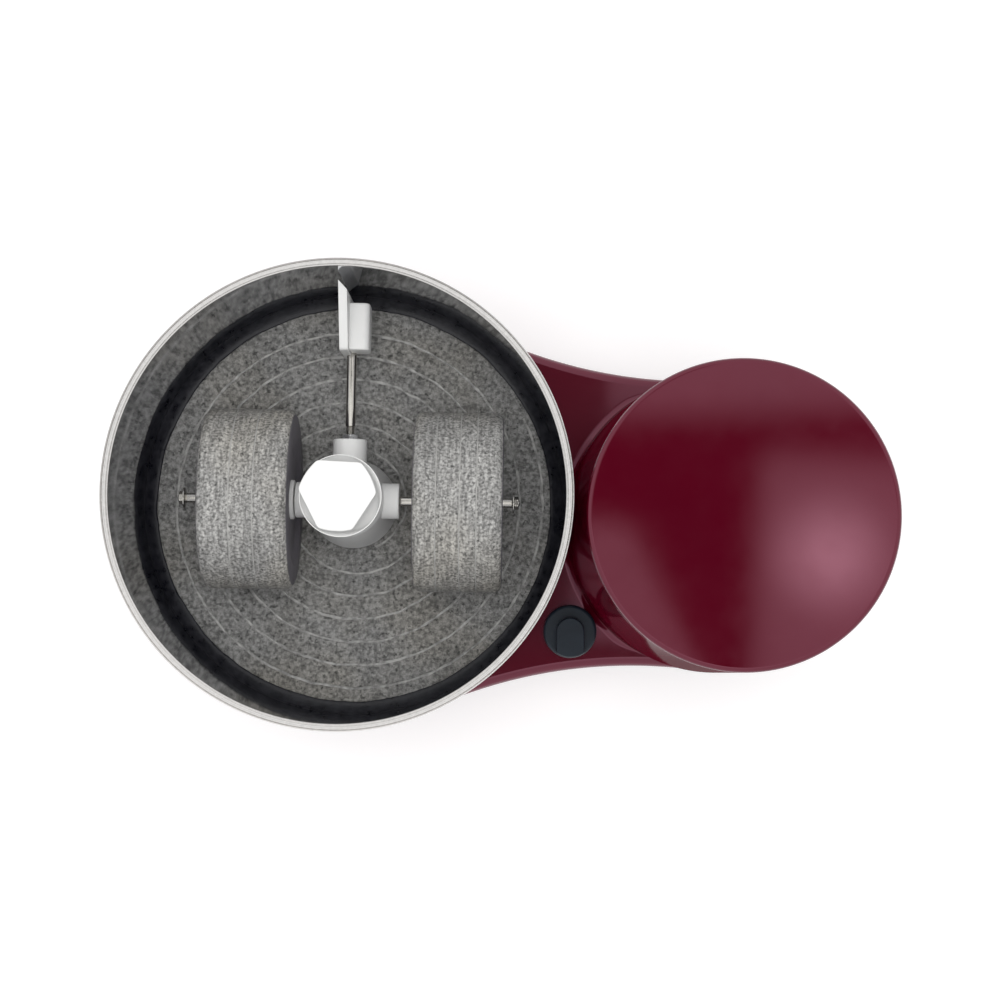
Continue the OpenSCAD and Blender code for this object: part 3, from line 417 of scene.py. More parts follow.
def housing_gloss():
    """Deep maroon plastic with a clear, slightly pink shine."""
    s = Surface("housing_gloss", MAROON, roughness=0.05)
    s.set(Specular_IOR_Level=1.0, Specular_Tint=(1.0, 0.5, 0.65))
    s.tones(s.noise(9, 3), scaled(MAROON, 0.94), scaled(MAROON, 1.05))
    s.sheen(s.noise(60, 4), 0.04, 0.065)
    # painted reflection: at grazing views the gloss gives way to a flat maroon, dimmer than the mirrored
    # floor, as though shaded surroundings were mirrored there
    grazing_painted_reflection = s.fill(s.node("BsdfDiffuse"), Color=scaled(MAROON, 1.3))
    facing = s.node("LayerWeight").outputs["Facing"]
    blend = s.node("MixShader")
    s.link(s.remap(facing, 0.86, 0.965, 0.0, 0.9, smooth=True), blend.inputs["Fac"])
    s.link(s.shader.outputs["BSDF"], blend.inputs[1])
    s.link(grazing_painted_reflection.outputs["BSDF"], blend.inputs[2])
    s.link(blend.outputs["Shader"], s.tree.nodes["Material Output"].inputs["Surface"])
    return s.material


def steel_look(name, colour, roughness, streak, along):
    """Bright steel with fine tool marks along one axis."""
    s = Surface(name, colour, metallic=1.0, roughness=roughness)
    marks = s.noise(streak, 3, 0.6, s.stretch(along))
    s.sheen(marks, roughness * 0.8, roughness * 1.25)
    s.tones(marks, scaled(colour, 0.93), scaled(colour, 1.04))
    s.bump(marks, 0.01 * MM, 0.3)
    return s.material


def drum_steel():
    """Mirror-bright sheet, with faint rubbed patches."""
    s = Surface("drum_steel", WALL_STEEL, metallic=1.0, roughness=0.05)
    rubbed = s.noise(30, 3)
    s.tones(rubbed, scaled(WALL_STEEL, 0.95), scaled(WALL_STEEL, 1.03))
    s.sheen(rubbed, 0.035, 0.07)
    return s.material


def rim_steel():
    return steel_look("rim_steel", RIM_STEEL, 0.12, 400, (1, 1, 1))


def bright_steel():
    return steel_look("bright_steel", (0.56, 0.54, 0.50), 0.13, 500, (1, 1, 1))


def nut_plating():
    return steel_look("nut_plating", (0.80, 0.80, 0.80), 0.30, 700, (1, 1, 1))


def zinc_steel():
    s = Surface("zinc_steel", (0.56, 0.57, 0.58), metallic=1.0, roughness=0.34)
    spangle = s.cells(90)
    s.tones(spangle, (0.48, 0.50, 0.52), (0.62, 0.63, 0.63), 0.1, 0.7)
    s.sheen(s.noise(150, 3), 0.28, 0.42)
    return s.material


def cast_alloy():
    s = Surface("cast_alloy", (0.50, 0.51, 0.52), metallic=0.9, roughness=0.5)
    grain = s.noise(900, 3)
    s.tones(grain, (0.40, 0.41, 0.42), (0.56, 0.57, 0.58))
    s.bump(grain, 0.08 * MM, 0.5)
    return s.material


def dark_steel():
    s = Surface("dark_steel", (0.12, 0.12, 0.125), metallic=0.9, roughness=0.42)
    s.tones(s.noise(300, 3), (0.08, 0.08, 0.085), (0.17, 0.17, 0.175))
    return s.material


def core_steel():
    s = Surface("core_steel", (0.16, 0.16, 0.17), metallic=0.8, roughness=0.45)
    layers = s.noise(1500, 1, 0.4, s.stretch((0.01, 0.01, 1)))
    s.tones(layers, (0.09, 0.09, 0.10), (0.24, 0.24, 0.25), 0.35, 0.65)
    s.bump(layers, 0.1 * MM, 0.6)
    return s.material


def copper_wire():
    s = Surface("copper_wire", (0.45, 0.16, 0.06), metallic=0.85, roughness=0.35)
    strands = s.noise(900, 1, 0.4, s.stretch((0.2, 0.2, 1)))
    s.tones(strands, (0.22, 0.07, 0.03), (0.62, 0.26, 0.11), 0.35, 0.65)
    s.bump(strands, 0.3 * MM, 0.7)
    return s.material


def bronze():
    s = Surface("bronze", (0.42, 0.27, 0.11), metallic=0.9, roughness=0.4)
    s.tones(s.noise(1200, 2), (0.33, 0.20, 0.08), (0.50, 0.34, 0.15))
    return s.material


def black_rubber():
    s = Surface("black_rubber", (0.018, 0.018, 0.019), roughness=0.7)
    grain = s.noise(700, 3)
    s.tones(grain, (0.013, 0.013, 0.014), (0.028, 0.028, 0.029))
    s.bump(grain, 0.06 * MM, 0.5)
    return s.material


def seal_dark():
    s = Surface("seal_dark", (0.010, 0.010, 0.014), roughness=0.33)
    lumps = s.noise(220, 3)
    s.tones(lumps, (0.005, 0.0055, 0.009), (0.024, 0.024, 0.030), 0.32, 0.70)
    s.sheen(lumps, 0.25, 0.45)
    s.bump(lumps, 0.3 * MM, 0.5)
    return s.material


def white_nylon():
    s = Surface("white_nylon", NYLON, roughness=0.38)
    cloud = s.noise(35, 3)
    s.tones(cloud, scaled(NYLON, 0.96), NYLON)
    s.sheen(s.noise(250, 3), 0.32, 0.45)
    s.bump(s.noise(1300, 2), 0.015 * MM, 0.3)
    return s.material


def speckle(s, base, size, contrast):
    """Granite: a soft grain of light and dark crystals, with black specks and slow clouds."""
    grain = s.remap(s.noise(1 / size, 2, 0.5), 0.34, 0.66, 1 - contrast, 1 + contrast)
    fine = s.remap(s.noise(2.6 / size, 1, 0.5), 0.35, 0.65, 0.88, 1.12)
    cloud = s.remap(s.noise(26, 3), 0.3, 0.7, 0.90, 1.10)
    level = s.maths("MULTIPLY", s.maths("MULTIPLY", grain, fine), cloud)
    speck = s.remap(s.noise(0.8 / size, 1, 0.4), 0.30, 0.36, 0.45, 1.0)
    level = s.maths("MULTIPLY", level, speck)
    warm = s.remap(s.noise(14, 2), 0.45, 0.75, 0.0, 1.0)
    tint = s.mix(warm, base, (base[0] * 1.02, base[1] * 0.98, base[2] * 0.90))
    return s.times(tint, level), grain


def bed_granite():
    s = Surface("bed_granite", BED_GREY, roughness=0.62)
    body, grain = speckle(s, BED_GREY, 2.1 * MM, 0.47)
    s.set(Base_Color=body)
    s.bump(grain, 0.10 * MM, 0.4)
    return s.material


def groove_dust():
    """The groove's floor, pale with stone dust that lies in it unevenly."""
    s = Surface("groove_dust", scaled(BED_GREY, 1.9), roughness=0.9)
    s.tones(s.noise(240, 3), scaled(BED_GREY, 1.15), scaled(BED_GREY, 2.3), 0.35, 0.65)
    return s.material


def roller_granite():
    """Turned granite: its crystals are crossed by fine streaks that run round the stone."""
    s = Surface("roller_granite", ROLLER_GREY, roughness=0.6)
    body, grain = speckle(s, ROLLER_GREY, 1.6 * MM, 0.50)
    turned = s.remap(s.noise(620, 2, 0.5, s.stretch((1.0, 0.10, 0.10))), 0.36, 0.64, 0.76, 1.24)
    s.set(Base_Color=s.times(body, turned))
    s.bump(grain, 0.10 * MM, 0.4)
    return s.material


def roller_line():
    s = Surface("roller_line", scaled(ROLLER_GREY, 1.5), roughness=0.85)
    s.tones(s.noise(330, 3), ROLLER_GREY, scaled(ROLLER_GREY, 1.6))
    return s.material


def roller_side_shade():
    """The stones' sawn sides, smooth; their tone, darker than the turned faces, is painted shade for the
    shadow that lies on them between stone, hub and bed.
    """
    s = Surface("roller_side_shade", SIDE_SHADE_GREY, roughness=0.55)
    s.tones(s.noise(70, 3), scaled(SIDE_SHADE_GREY, 0.85), scaled(SIDE_SHADE_GREY, 1.15))
    return s.material


def bedding():
    s = Surface("bedding", (0.42, 0.41, 0.38), roughness=0.9)
    s.tones(s.noise(200, 4), (0.34, 0.33, 0.30), (0.48, 0.47, 0.44))
    return s.material


def knob_plastic():
    s = Surface("knob_plastic", SLATE, roughness=0.36)
    s.set(Specular_IOR_Level=0.32)
    s.tones(s.noise(120, 3), scaled(SLATE, 0.85), scaled(SLATE, 1.15))
    s.bump(s.noise(1500, 2), 0.03 * MM, 0.4)
    return s.material


def black_plastic():
    s = Surface("black_plastic", (0.02, 0.02, 0.021), roughness=0.45)
    s.tones(s.noise(200, 3), (0.015, 0.015, 0.016), (0.03, 0.03, 0.031))
    s.bump(s.noise(1400, 2), 0.03 * MM, 0.4)
    return s.material


def wire_cover():
    s = Surface("wire_cover", (0.35, 0.03, 0.02), roughness=0.4)
    s.tones(s.noise(150, 2), (0.28, 0.02, 0.015), (0.40, 0.04, 0.03))
    return s.material


def can_metal():
    s = Surface("can_metal", (0.62, 0.63, 0.64), metallic=0.9, roughness=0.3)
    drawn = s.noise(400, 2, 0.5, s.stretch((1, 0.02, 1)))
    s.sheen(drawn, 0.22, 0.4)
    return s.material


LOOKS = {
    make.__name__: make() for make in (
        housing_gloss, drum_steel, bright_steel, zinc_steel, cast_alloy, dark_steel, core_steel,
        copper_wire, bronze, black_rubber, seal_dark, white_nylon, bed_granite, roller_granite,
        bedding, knob_plastic, black_plastic, wire_cover, can_metal, groove_dust, roller_line, rim_steel,
        nut_plating, roller_side_shade)
}


def dress_cad_nodes():
    for obj in nodes.values():
        for held in obj.material_slots:
            held.material = LOOKS[held.material.name.split(".")[0]] if held.material else LOOKS["dark_steel"]


# Housing

BASE_STEPS = 150
NECK_STEPS = 36
TOWER_STEPS = 96
FOOT_STEPS = 110
FILLET_STEPS = 8
STEP_SIDES = 180
FULL = 2 * math.pi
drum_axis = Vector((drum_x, 0))
tower_axis = Vector((tower_x, 0))


def neck_centre(side):
    """Centre of the neck's hollow curve on one side."""
    gap = tower_x - drum_x
    to_drum = NECK_R + BASE_R
    to_tower = NECK_R + TOWER_FOOT_R - TOWER_LAP
    along = (to_drum ** 2 - to_tower ** 2 + gap ** 2) / (2 * gap)
    return Vector((drum_x + along, side * math.sqrt(to_drum ** 2 - along ** 2)))


def circle_meeting(a, ra, b, rb):
    """Where two circles meet, the point with the smaller X."""
    line = b - a
    d = line.length
    along = (d * d + ra * ra - rb * rb) / (2 * d)
    off = math.sqrt(max(ra * ra - along * along, 0))
    line.normalize()
    side = Vector((-line.y, line.x))
    return min((a + line * along + side * off, a + line * along - side * off), key=lambda p: p.x)


def sweep(centre, start, end, steps, anticlockwise=True):
    """Points on a circle from one point to another, the last left out."""
    r = (start - centre).length
    a0 = math.atan2(start.y - centre.y, start.x - centre.x)
    a1 = math.atan2(end.y - centre.y, end.x - centre.x)
    if anticlockwise:
        while a1 <= a0:
            a1 += 2 * math.pi
    else:
        while a1 >= a0:
            a1 -= 2 * math.pi
    return [Vector((centre.x + r * math.cos(a0 + (a1 - a0) * i / steps),
                    centre.y + r * math.sin(a0 + (a1 - a0) * i / steps))) for i in range(steps)]


def housing_outline(inset, tower_inset):
    """The plan in four stretches: round base, neck, tower, neck."""
    low, high = neck_centre(-1), neck_centre(1)
    on_drum = [drum_axis + (c - drum_axis).normalized() * (BASE_R - inset) for c in (low, high)]
    on_tower = [circle_meeting(c, NECK_R + inset, tower_axis, TOWER_FOOT_R - tower_inset)
                for c in (low, high)]
    return (sweep(drum_axis, on_drum[1], on_drum[0], BASE_STEPS),
            sweep(low, on_drum[0], on_tower[0], NECK_STEPS, False),
            sweep(tower_axis, on_tower[0], on_tower[1], TOWER_STEPS),
            sweep(high, on_tower[1], on_drum[1], NECK_STEPS, False))


def add_ring(bm, points, z):
    return [bm.verts.new((p.x, p.y, z)) for p in points]


def body_shell(bm):
    """The moulding's wall and rounded deck edge; returns the deck's edge loop."""
    lip = 1.0 * MM
    levels = [(WALL, SKIRT_Z + 5 * MM), (WALL, SKIRT_Z + lip)]
    levels += [(lip - lip * math.sin(a), SKIRT_Z + lip - lip * math.cos(a))
               for a in (0.0, math.pi / 6, math.pi / 3, math.pi / 2)]
    rings = [add_ring(bm, sum(housing_outline(inset, inset), []), z) for inset, z in levels]
    steps = 10
    for i in range(steps + 1):
        a = math.pi / 2 * i / steps
        inset = DECK_ROUND * (1 - math.cos(a))
        z = DECK_Z - DECK_ROUND + DECK_ROUND * math.sin(a)
        rings.append(add_ring(bm, sum(housing_outline(inset, 0), []), z))
    for low, high in zip(rings, rings[1:]):
        join_rings(bm, low, high)
    return rings[-1]


def foot_fillet(angle, start, end):
    """Size of the hollow fillet at the tower's foot: full towards the drum, none outside."""
    fade = math.radians(16)
    into = min(angle - start, end - angle)
    t = max(0.0, min(1.0, into / fade))
    return FOOT_FILLET * t * t * (3 - 2 * t)


def tower_r(z):
    return TOWER_FOOT_R - (TOWER_FOOT_R - TOWER_TOP_R) * (z - DECK_Z) / (TOWER_Z - DECK_Z)


def vent_angles():
    return [math.radians(a) for a in range(-40, 41, 8)]


def tower_span(top_ring):
    """The angles about the tower between which its foot stands on the deck."""
    first = BASE_STEPS + NECK_STEPS
    low, high = top_ring[first].co, top_ring[first + TOWER_STEPS].co
    return math.atan2(high.y, high.x - tower_x), FULL + math.atan2(low.y, low.x - tower_x)


def tower_angles(start, end):
    """Where the tower's upright edges stand: even steps, and both edges of each vent in its back."""
    half = VENT_W / 2 / tower_r(VENT_LOW)
    vents = vent_angles()
    edges = sorted([v - half for v in vents] + [v + half for v in vents])
    back = [-start + 2 * start * i / TOWER_STEPS for i in range(TOWER_STEPS)]
    back = [a for a in back if min(abs(a - e) for e in edges) > 0.5 * half] + edges
    return [start + (end - start) * i / FOOT_STEPS for i in range(FOOT_STEPS)] + sorted(back)


def foot_rings(bm, angles, start, end):
    """The fillet's rings, from its toe on the deck up to the tower's wall."""
    inside = [foot_fillet(a % FULL, start, end) if start < a % FULL < end else 0.0 for a in angles]
    rings = []
    for k in range(FILLET_STEPS + 1):
        t = math.pi / 2 * k / FILLET_STEPS
        ring = []
        for a, f in zip(angles, inside):
            z = DECK_Z + f * (1 - math.cos(t))
            r = tower_r(z) + f * (1 - math.sin(t))
            ring.append(bm.verts.new((tower_x + r * math.cos(a), r * math.sin(a), z)))
        rings.append(ring)
    return rings


def wall_rings(bm, angles):
    """The wall's rings, from above the fillet over the top edge to the inside."""
    top_round = 0.6 * MM
    heights = [(DECK_Z + 12 * MM, 0), (VENT_LOW, 0), (VENT_HIGH, 0), (LID_Z - top_round, 0),
               (LID_Z - 0.25 * top_round, 0.25 * top_round), (LID_Z, top_round), (LID_Z, WALL),
               (LID_Z - 4 * MM, WALL)]
    rings = []
    for z, draw in heights:
        r = tower_r(z) - draw
        rings.append([bm.verts.new((tower_x + r * math.cos(a), r * math.sin(a), z)) for a in angles])
    return rings


def in_vent(a, b):
    """Whether the middle between two angles lies in a vent."""
    middle = a + ((b - a) % FULL) / 2
    middle = (middle + math.pi) % FULL - math.pi
    half = VENT_W / 2 / tower_r(VENT_LOW)
    return any(abs(middle - v) < half for v in vent_angles())


def vent_sides(bm, corners):
    """The four faces that line a vent through the wall."""
    inner = []
    for v in corners:
        out = Vector((v.co.x - tower_x, v.co.y, 0)).normalized()
        inner.append(bm.verts.new(v.co - out * WALL))
    join_rings(bm, corners, inner)


def tower_shell(bm, top_ring):
    """The tower's wall with its foot fillet and the vents in its back; returns the foot's toe."""
    start, end = tower_span(top_ring)
    angles = tower_angles(start, end)
    rings = foot_rings(bm, angles, start, end) + wall_rings(bm, angles)
    vent_row = FILLET_STEPS + 2
    openings = []
    for row, (low, high) in enumerate(zip(rings, rings[1:])):
        for i in range(len(angles)):
            j = (i + 1) % len(angles)
            corners = (low[i], low[j], high[j], high[i])
            if row == vent_row and in_vent(angles[i], angles[j]):
                openings.append(corners)
            else:
                bm.faces.new(corners)
    for corners in openings:
        vent_sides(bm, corners)
    return rings[0][:FOOT_STEPS + 1]


def deck_plate(bm, edge, toe):
    """The flat deck between the moulding's rounded edge, the tower's foot and the drum's step."""
    base = edge[:BASE_STEPS + NECK_STEPS + 1]
    neck = edge[BASE_STEPS + NECK_STEPS + TOWER_STEPS:]
    outer = [v.co.to_2d() for v in neck + base + toe[-2:0:-1]]
    step_r = STEP_R + STEP_SLOPE
    ring = [Vector((drum_x + step_r * math.cos(a), step_r * math.sin(a)))
            for a in [FULL * i / STEP_SIDES for i in range(STEP_SIDES)]]
    verts = outer + ring
    count = len(outer)
    edges = [(i, (i + 1) % count) for i in range(count)]
    edges += [(count + i, count + (i + 1) % STEP_SIDES) for i in range(STEP_SIDES)]
    flat, _, faces, _, _, _ = geometry.delaunay_2d_cdt(verts, edges, [], 1, 1e-7)
    made = [bm.verts.new((p.x, p.y, DECK_Z)) for p in flat]
    hole = step_r * 0.999
    for face in faces:
        middle = sum((flat[i] for i in face), Vector((0, 0))) / len(face)
        if (middle - drum_axis).length >= hole and (middle - tower_axis).length >= TOWER_FOOT_R:
            bm.faces.new([made[i] for i in face])


def build_housing():
    bm = bmesh.new()
    edge = body_shell(bm)
    toe = tower_shell(bm, edge)
    deck_plate(bm, edge, toe)
    step = rounded([(STEP_R + STEP_SLOPE, DECK_Z), (STEP_R, DECK_Z + STEP_H, 1.2 * MM),
                    (DECK_HOLE_R, DECK_Z + STEP_H, 0.6 * MM), (DECK_HOLE_R, DECK_Z - WALL)], 4)
    revolve(bm, step, STEP_SIDES, drum_frame)
    piece("housing", bm, ["housing_gloss"], "base", ["base_housing"], level=True)


def build_lid():
    bm = bmesh.new()
    seam = LID_Z + 0.3 * MM
    profile = rounded([(TOWER_TOP_R - 12 * MM, seam), (tower_r(seam), seam, 0.5 * MM),
                       (TOWER_TOP_R, TOWER_Z, 3 * MM), (0, TOWER_Z)], 10)
    revolve(bm, profile, 256, tower_frame)
    piece("tower_top", bm, ["housing_gloss"], "base", ["tower_lid"], level=True)


# Drum

def rim_profile():
    """The rolled rim in section, from the wall's outside round to its inside."""
    points = [(133.0, 258), (133.0, 263.6, 0.4), (135.0, 264.2, 1.5), (135.0, 267.4, 1.1),
              (134.25, 267.4, 0.1), (133.95, 266.75, 0.05), (133.6, 267.5, 0.2), (132.8, 268.1, 0.8),
              (131.7, 266.9, 0.2), (131.0, 267.5, 0.45), (130.4, 266.8, 0.6), (130.4, 264.6, 1.2),
              (132.2, 263.4, 0.3), (132.2, 258)]
    shift = (DRUM_IN_R - 132.2 * MM, RIM_Z - 268 * MM)
    return [(x * MM + shift[0], y * MM + shift[1]) for x, y in rounded(points, 5)]


def build_drum():
    bm = bmesh.new()
    inner = DRUM_CORNER - SHEET
    profile = [(14 * MM, DRUM_FLOOR_Z)]
    profile += arc(DRUM_OUT_R - DRUM_CORNER, DRUM_FLOOR_Z + DRUM_CORNER, DRUM_CORNER, -90, 0, 12)
    profile += [(DRUM_OUT_R, z * MM) for z in (150, 200, 240)]
    rim_first = len(profile)
    profile += rim_profile()
    rim_last = len(profile) - 1
    profile += [(DRUM_IN_R, z * MM) for z in (240, 200, 150)]
    profile += arc(DRUM_IN_R - inner, DRUM_FLOOR_Z + DRUM_CORNER, inner, 0, -90, 12)
    profile += [(14 * MM, DRUM_FLOOR_Z + SHEET)]
    steps = 288
    revolve(bm, profile, steps, drum_frame, closed=True)
    bm.faces.ensure_lookup_table()
    for row in range(rim_first + 1, rim_last - 1):
        for face in bm.faces[row * steps:(row + 1) * steps]:
            face.material_index = 1
    piece("drum_wall", bm, ["drum_steel", "rim_steel"], "drum", ["drum_shell"])


GROOVE_ACROSS = (-1.0, -0.45, 0.0, 0.45, 1.0)
GROOVE_DEPTH = (0.0, 0.8, 1.0, 0.8, 0.0)
BED_FLAT_STEPS = 6
BED_FACE_IN_R = COLUMN_R + 1.5 * MM
BED_FACE_OUT_R = BED_R - 1 * MM


def groove_r(degrees):
    return 43.5 * MM + GROOVE_PITCH * (degrees - 272.85) / 360


def groove_wander(radius, angle):
    """How far the hand-cut groove strays from its true line, and its width there."""
    place = Vector((radius * math.cos(angle), radius * math.sin(angle), 0)) / (9 * MM)
    stray = noise.noise(place) * 0.75 * MM
    width = GROOVE_W * (1 + 0.45 * noise.noise(place * 1.7 + Vector((0, 0, 5))))
    return stray, width


def bed_row(bm, degrees, cut):
    """One row of points across the bed's strip: over the groove, then flat as far as its next turn."""
    angle = math.radians(degrees)
    middle = groove_r(degrees)
    after = groove_r(degrees + 360)
    stray, width = groove_wander(middle, angle)
    next_stray, next_width = groove_wander(after, angle)
    radii = [middle + stray + share * width / 2 for share in GROOVE_ACROSS]
    last = after + next_stray - next_width / 2
    radii += [radii[-1] + (last - radii[-1]) * i / BED_FLAT_STEPS for i in range(1, BED_FLAT_STEPS + 1)]
    row = []
    for n, r in enumerate(radii):
        r = max(BED_FACE_IN_R, min(BED_FACE_OUT_R, r))
        deep = GROOVE_D * GROOVE_DEPTH[n] if n < len(GROOVE_DEPTH) and cut else 0.0
        row.append(bm.verts.new((drum_x + r * math.cos(angle), r * math.sin(angle), BED_Z - deep)))
    return row


def build_bed():
    """The granite bed's face is one long strip that follows the spiral groove, a row for each degree."""
    bm = bmesh.new()
    rows = []
    for degrees in range(GROOVE_FIRST - 720, GROOVE_LAST + 361):
        cut = GROOVE_FIRST <= degrees <= GROOVE_LAST
        rows.append((bed_row(bm, degrees, cut), cut))
    for (low, cut_low), (high, cut_high) in zip(rows, rows[1:]):
        for n in range(len(low) - 1):
            if (low[n].co - low[n + 1].co).length < 1e-6 and (high[n].co - high[n + 1].co).length < 1e-6:
                continue
            face = bm.faces.new((low[n], high[n], high[n + 1], low[n + 1]))
            face.material_index = 1 if n < len(GROOVE_DEPTH) - 1 and cut_low and cut_high else 0
    bmesh.ops.remove_doubles(bm, verts=bm.verts, dist=0.002 * MM)
    bmesh.ops.dissolve_degenerate(bm, dist=0.001 * MM, edges=bm.edges)
    bore = COLUMN_R + 0.3 * MM
    side = [(BED_FACE_OUT_R, BED_Z), (BED_R, BED_Z - 1 * MM), (BED_R, STONE_Z), (bore, STONE_Z),
            (bore, BED_Z - 1 * MM), (BED_FACE_IN_R, BED_Z)]
    revolve(bm, side, 360, drum_frame)
    piece("bed_face", bm, ["bed_granite", "groove_dust"], "drum", ["bed_stone"], sharp=50)


def build_seal():
    """The fillet between bed and wall, laid by hand, so its inner edge wanders a little."""
    def wander(a, r, z):
        at_edge = max(0.0, 1 - (DRUM_IN_R - r) / (DRUM_IN_R - BED_R))
        place = Vector((math.cos(a) * 6, math.sin(a) * 6, 2.0))
        shift = noise.noise(place) + 0.5 * noise.noise(place * 3)
        near = 1 - at_edge
        return r - shift * 0.9 * MM * near, z + 0.25 * MM * shift * near + 0.02 * MM * near
    bm = bmesh.new()
    profile = [(DRUM_IN_R - 0.05 * MM, STONE_Z + 6 * MM)]
    width = DRUM_IN_R - BED_R
    for i in range(13):
        t = i / 12
        profile.append((DRUM_IN_R - 0.05 * MM - width * t, BED_Z + SEAL_H * (1 - t) ** 1.6 + 0.15 * MM))
    profile.append((BED_R - 0.6 * MM, BED_Z - 0.3 * MM))
    revolve(bm, profile, 288, drum_frame, wobble=wander)
    piece("seal_fillet", bm, ["seal_dark"], "drum", ["seal_ring"])


# Roller set

def along_axle(side):
    """A frame whose Z runs outwards along the axles."""
    return hub_frame @ Matrix.Translation((0, 0, AXLE_Z)) @ Matrix.Rotation(side * math.pi / 2, 4, "Y")


def stone_place(side):
    """A frame at the hub whose X runs outwards along the axles, for the stone's own texture."""
    turn = Matrix.Identity(4) if side > 0 else Matrix.Rotation(math.pi, 4, "Z")
    return hub_frame @ Matrix.Translation((0, 0, AXLE_Z)) @ turn


def build_stone(side, inner, node, lines):
    """A roller stone with rounded edges, dished sides and fine turned lines."""
    bm = bmesh.new()
    edge = 4.8 * MM
    outer = inner + STONE_W
    dish = 2.5 * MM
    dish_r = 40 * MM
    face = [(STONE_R, inner + edge + 0.2 * MM)]
    for line in sorted(lines):
        middle = inner + line
        cut = 0.35 * MM
        face += [(STONE_R, middle - cut), (STONE_R - 0.25 * MM, middle), (STONE_R, middle + cut)]
    slope = 8 * MM
    front = [(BUSH_R, outer - dish), (dish_r - slope, outer - dish, 3 * MM), (dish_r, outer, 2 * MM),
             (STONE_R, outer, edge), (STONE_R, outer - 2 * edge)]
    profile = rounded(front, 7) + list(reversed(face))
    back = [(STONE_R, inner + 2 * edge), (STONE_R, inner, edge), (dish_r, inner, 2 * MM),
            (dish_r - slope, inner + dish, 3 * MM), (BUSH_R, inner + dish)]
    kept = [p for p in profile if p[1] >= inner + 2 * edge or p[0] < STONE_R - 0.01 * MM]
    profile = kept + rounded(back, 7)
    turn = Matrix.Rotation(math.pi / 2, 4, "Y")
    revolve(bm, profile, 160, turn)
    bm.normal_update()
    for f in bm.faces:
        middle = f.calc_center_median()
        radius = math.hypot(middle.y, middle.z)
        on_line = any(abs(middle.x - inner - line) < 0.4 * MM for line in lines)
        if radius > STONE_R - 0.3 * MM and on_line:
            f.material_index = 1
        # the flat sides take the third material, whose darker tone is painted shade
        elif abs(f.normal.x) > 0.93:
            f.material_index = 2
    name = "roller_left" if side < 0 else "roller_right"
    looks = ["roller_granite", "roller_line", "roller_side_shade"]
    piece(name, bm, looks, node, [node], place=stone_place(side))


def build_bush(side, inner, node):
    bm = bmesh.new()
    low, high = inner + 0.3 * MM, inner + STONE_W - 0.3 * MM
    bore = AXLE_R + 0.05 * MM
    lip = 0.7 * MM
    profile = rounded([(bore, low + 1 * MM), (bore, low, 0.4 * MM), (BUSH_R, low, lip),
                       (BUSH_R, high, lip), (bore, high, 0.4 * MM), (bore, high - 1 * MM)], 4)
    revolve(bm, profile, 72, along_axle(side), closed=True)
    piece(node + "_sleeve", bm, ["white_nylon"], node.replace("_bush", ""), [node])


def hex_radius(angle, across):
    sixth = math.pi / 3
    return across / 2 / math.cos((angle + sixth / 2) % sixth - sixth / 2)


def add_nut(bm, across, bore, low, high, place):
    """A hexagon nut whose corners are chamfered by a cone."""
    steps = 96
    chamfer = 0.09 * across

    def shape(a, r, z):
        corner = hex_radius(a, across)
        if r > bore + 0.01 * MM:
            in_from_face = min(z - low, high - z)
            limit = across / 2 * 0.97 + in_from_face * 1.7
            return min(corner, limit), z
        return r, z

    levels = [low, low + chamfer * 0.35, low + chamfer * 0.8, (low + high) / 2,
              high - chamfer * 0.8, high - chamfer * 0.35, high]
    profile = [(bore, low)] + [(across / 2, z) for z in levels] + [(bore, high)]
    revolve(bm, profile, steps, place, closed=True, wobble=shape)


def thread(bm, r, pitch, low, high, place):
    """A threaded end: a ridge at every pitch, with a chamfered tip."""
    profile = [(0, low)]
    count = int((high - low) / pitch)
    for i in range(count):
        z = low + i * pitch
        profile += [(r - 0.3 * pitch, z), (r, z + 0.35 * pitch), (r, z + 0.55 * pitch)]
    profile += [(r - 0.3 * pitch, high - 0.3 * pitch), (r - 0.6 * pitch, high), (0, high)]
    revolve(bm, profile, 40, place)


def build_axle(side, reach, node):
    bm = bmesh.new()
    place = along_axle(side)
    chamfer = 0.3 * MM
    bar = rounded([(0, AXLE_IN), (AXLE_R, AXLE_IN, chamfer), (AXLE_R, reach, chamfer), (0, reach)], 3)
    revolve(bm, bar, 64, place)
    thread(bm, THREAD_R, 0.7 * MM, reach - 1 * MM, reach + WASHER_T + NUT_T + 0.6 * MM, place)
    piece(node + "_bar", bm, ["bright_steel"], "roller_assembly", [node])


def build_axle_ends():
    washers, nuts = bmesh.new(), bmesh.new()
    for side, reach in ((-1, LEFT_REACH), (1, RIGHT_REACH)):
        place = along_axle(side)
        lip = 0.25 * MM
        nut = reach + WASHER_T
        profile = rounded([(THREAD_R, reach), (WASHER_R, reach, lip), (WASHER_R, nut, lip),
                           (THREAD_R, nut)], 3)
        revolve(washers, profile, 72, place, closed=True)
        add_nut(nuts, NUT_ACROSS, THREAD_R, nut, nut + NUT_T, place)
    piece("end_washers", washers, ["bright_steel"], "roller_assembly", ["axle_washers"])
    piece("end_nuts", nuts, ["bright_steel"], "roller_assembly", ["axle_nuts"])


def along_rod():
    return hub_frame @ Matrix.Translation((0, 0, ROD_Z)) @ Matrix.Rotation(-math.pi / 2, 4, "X")


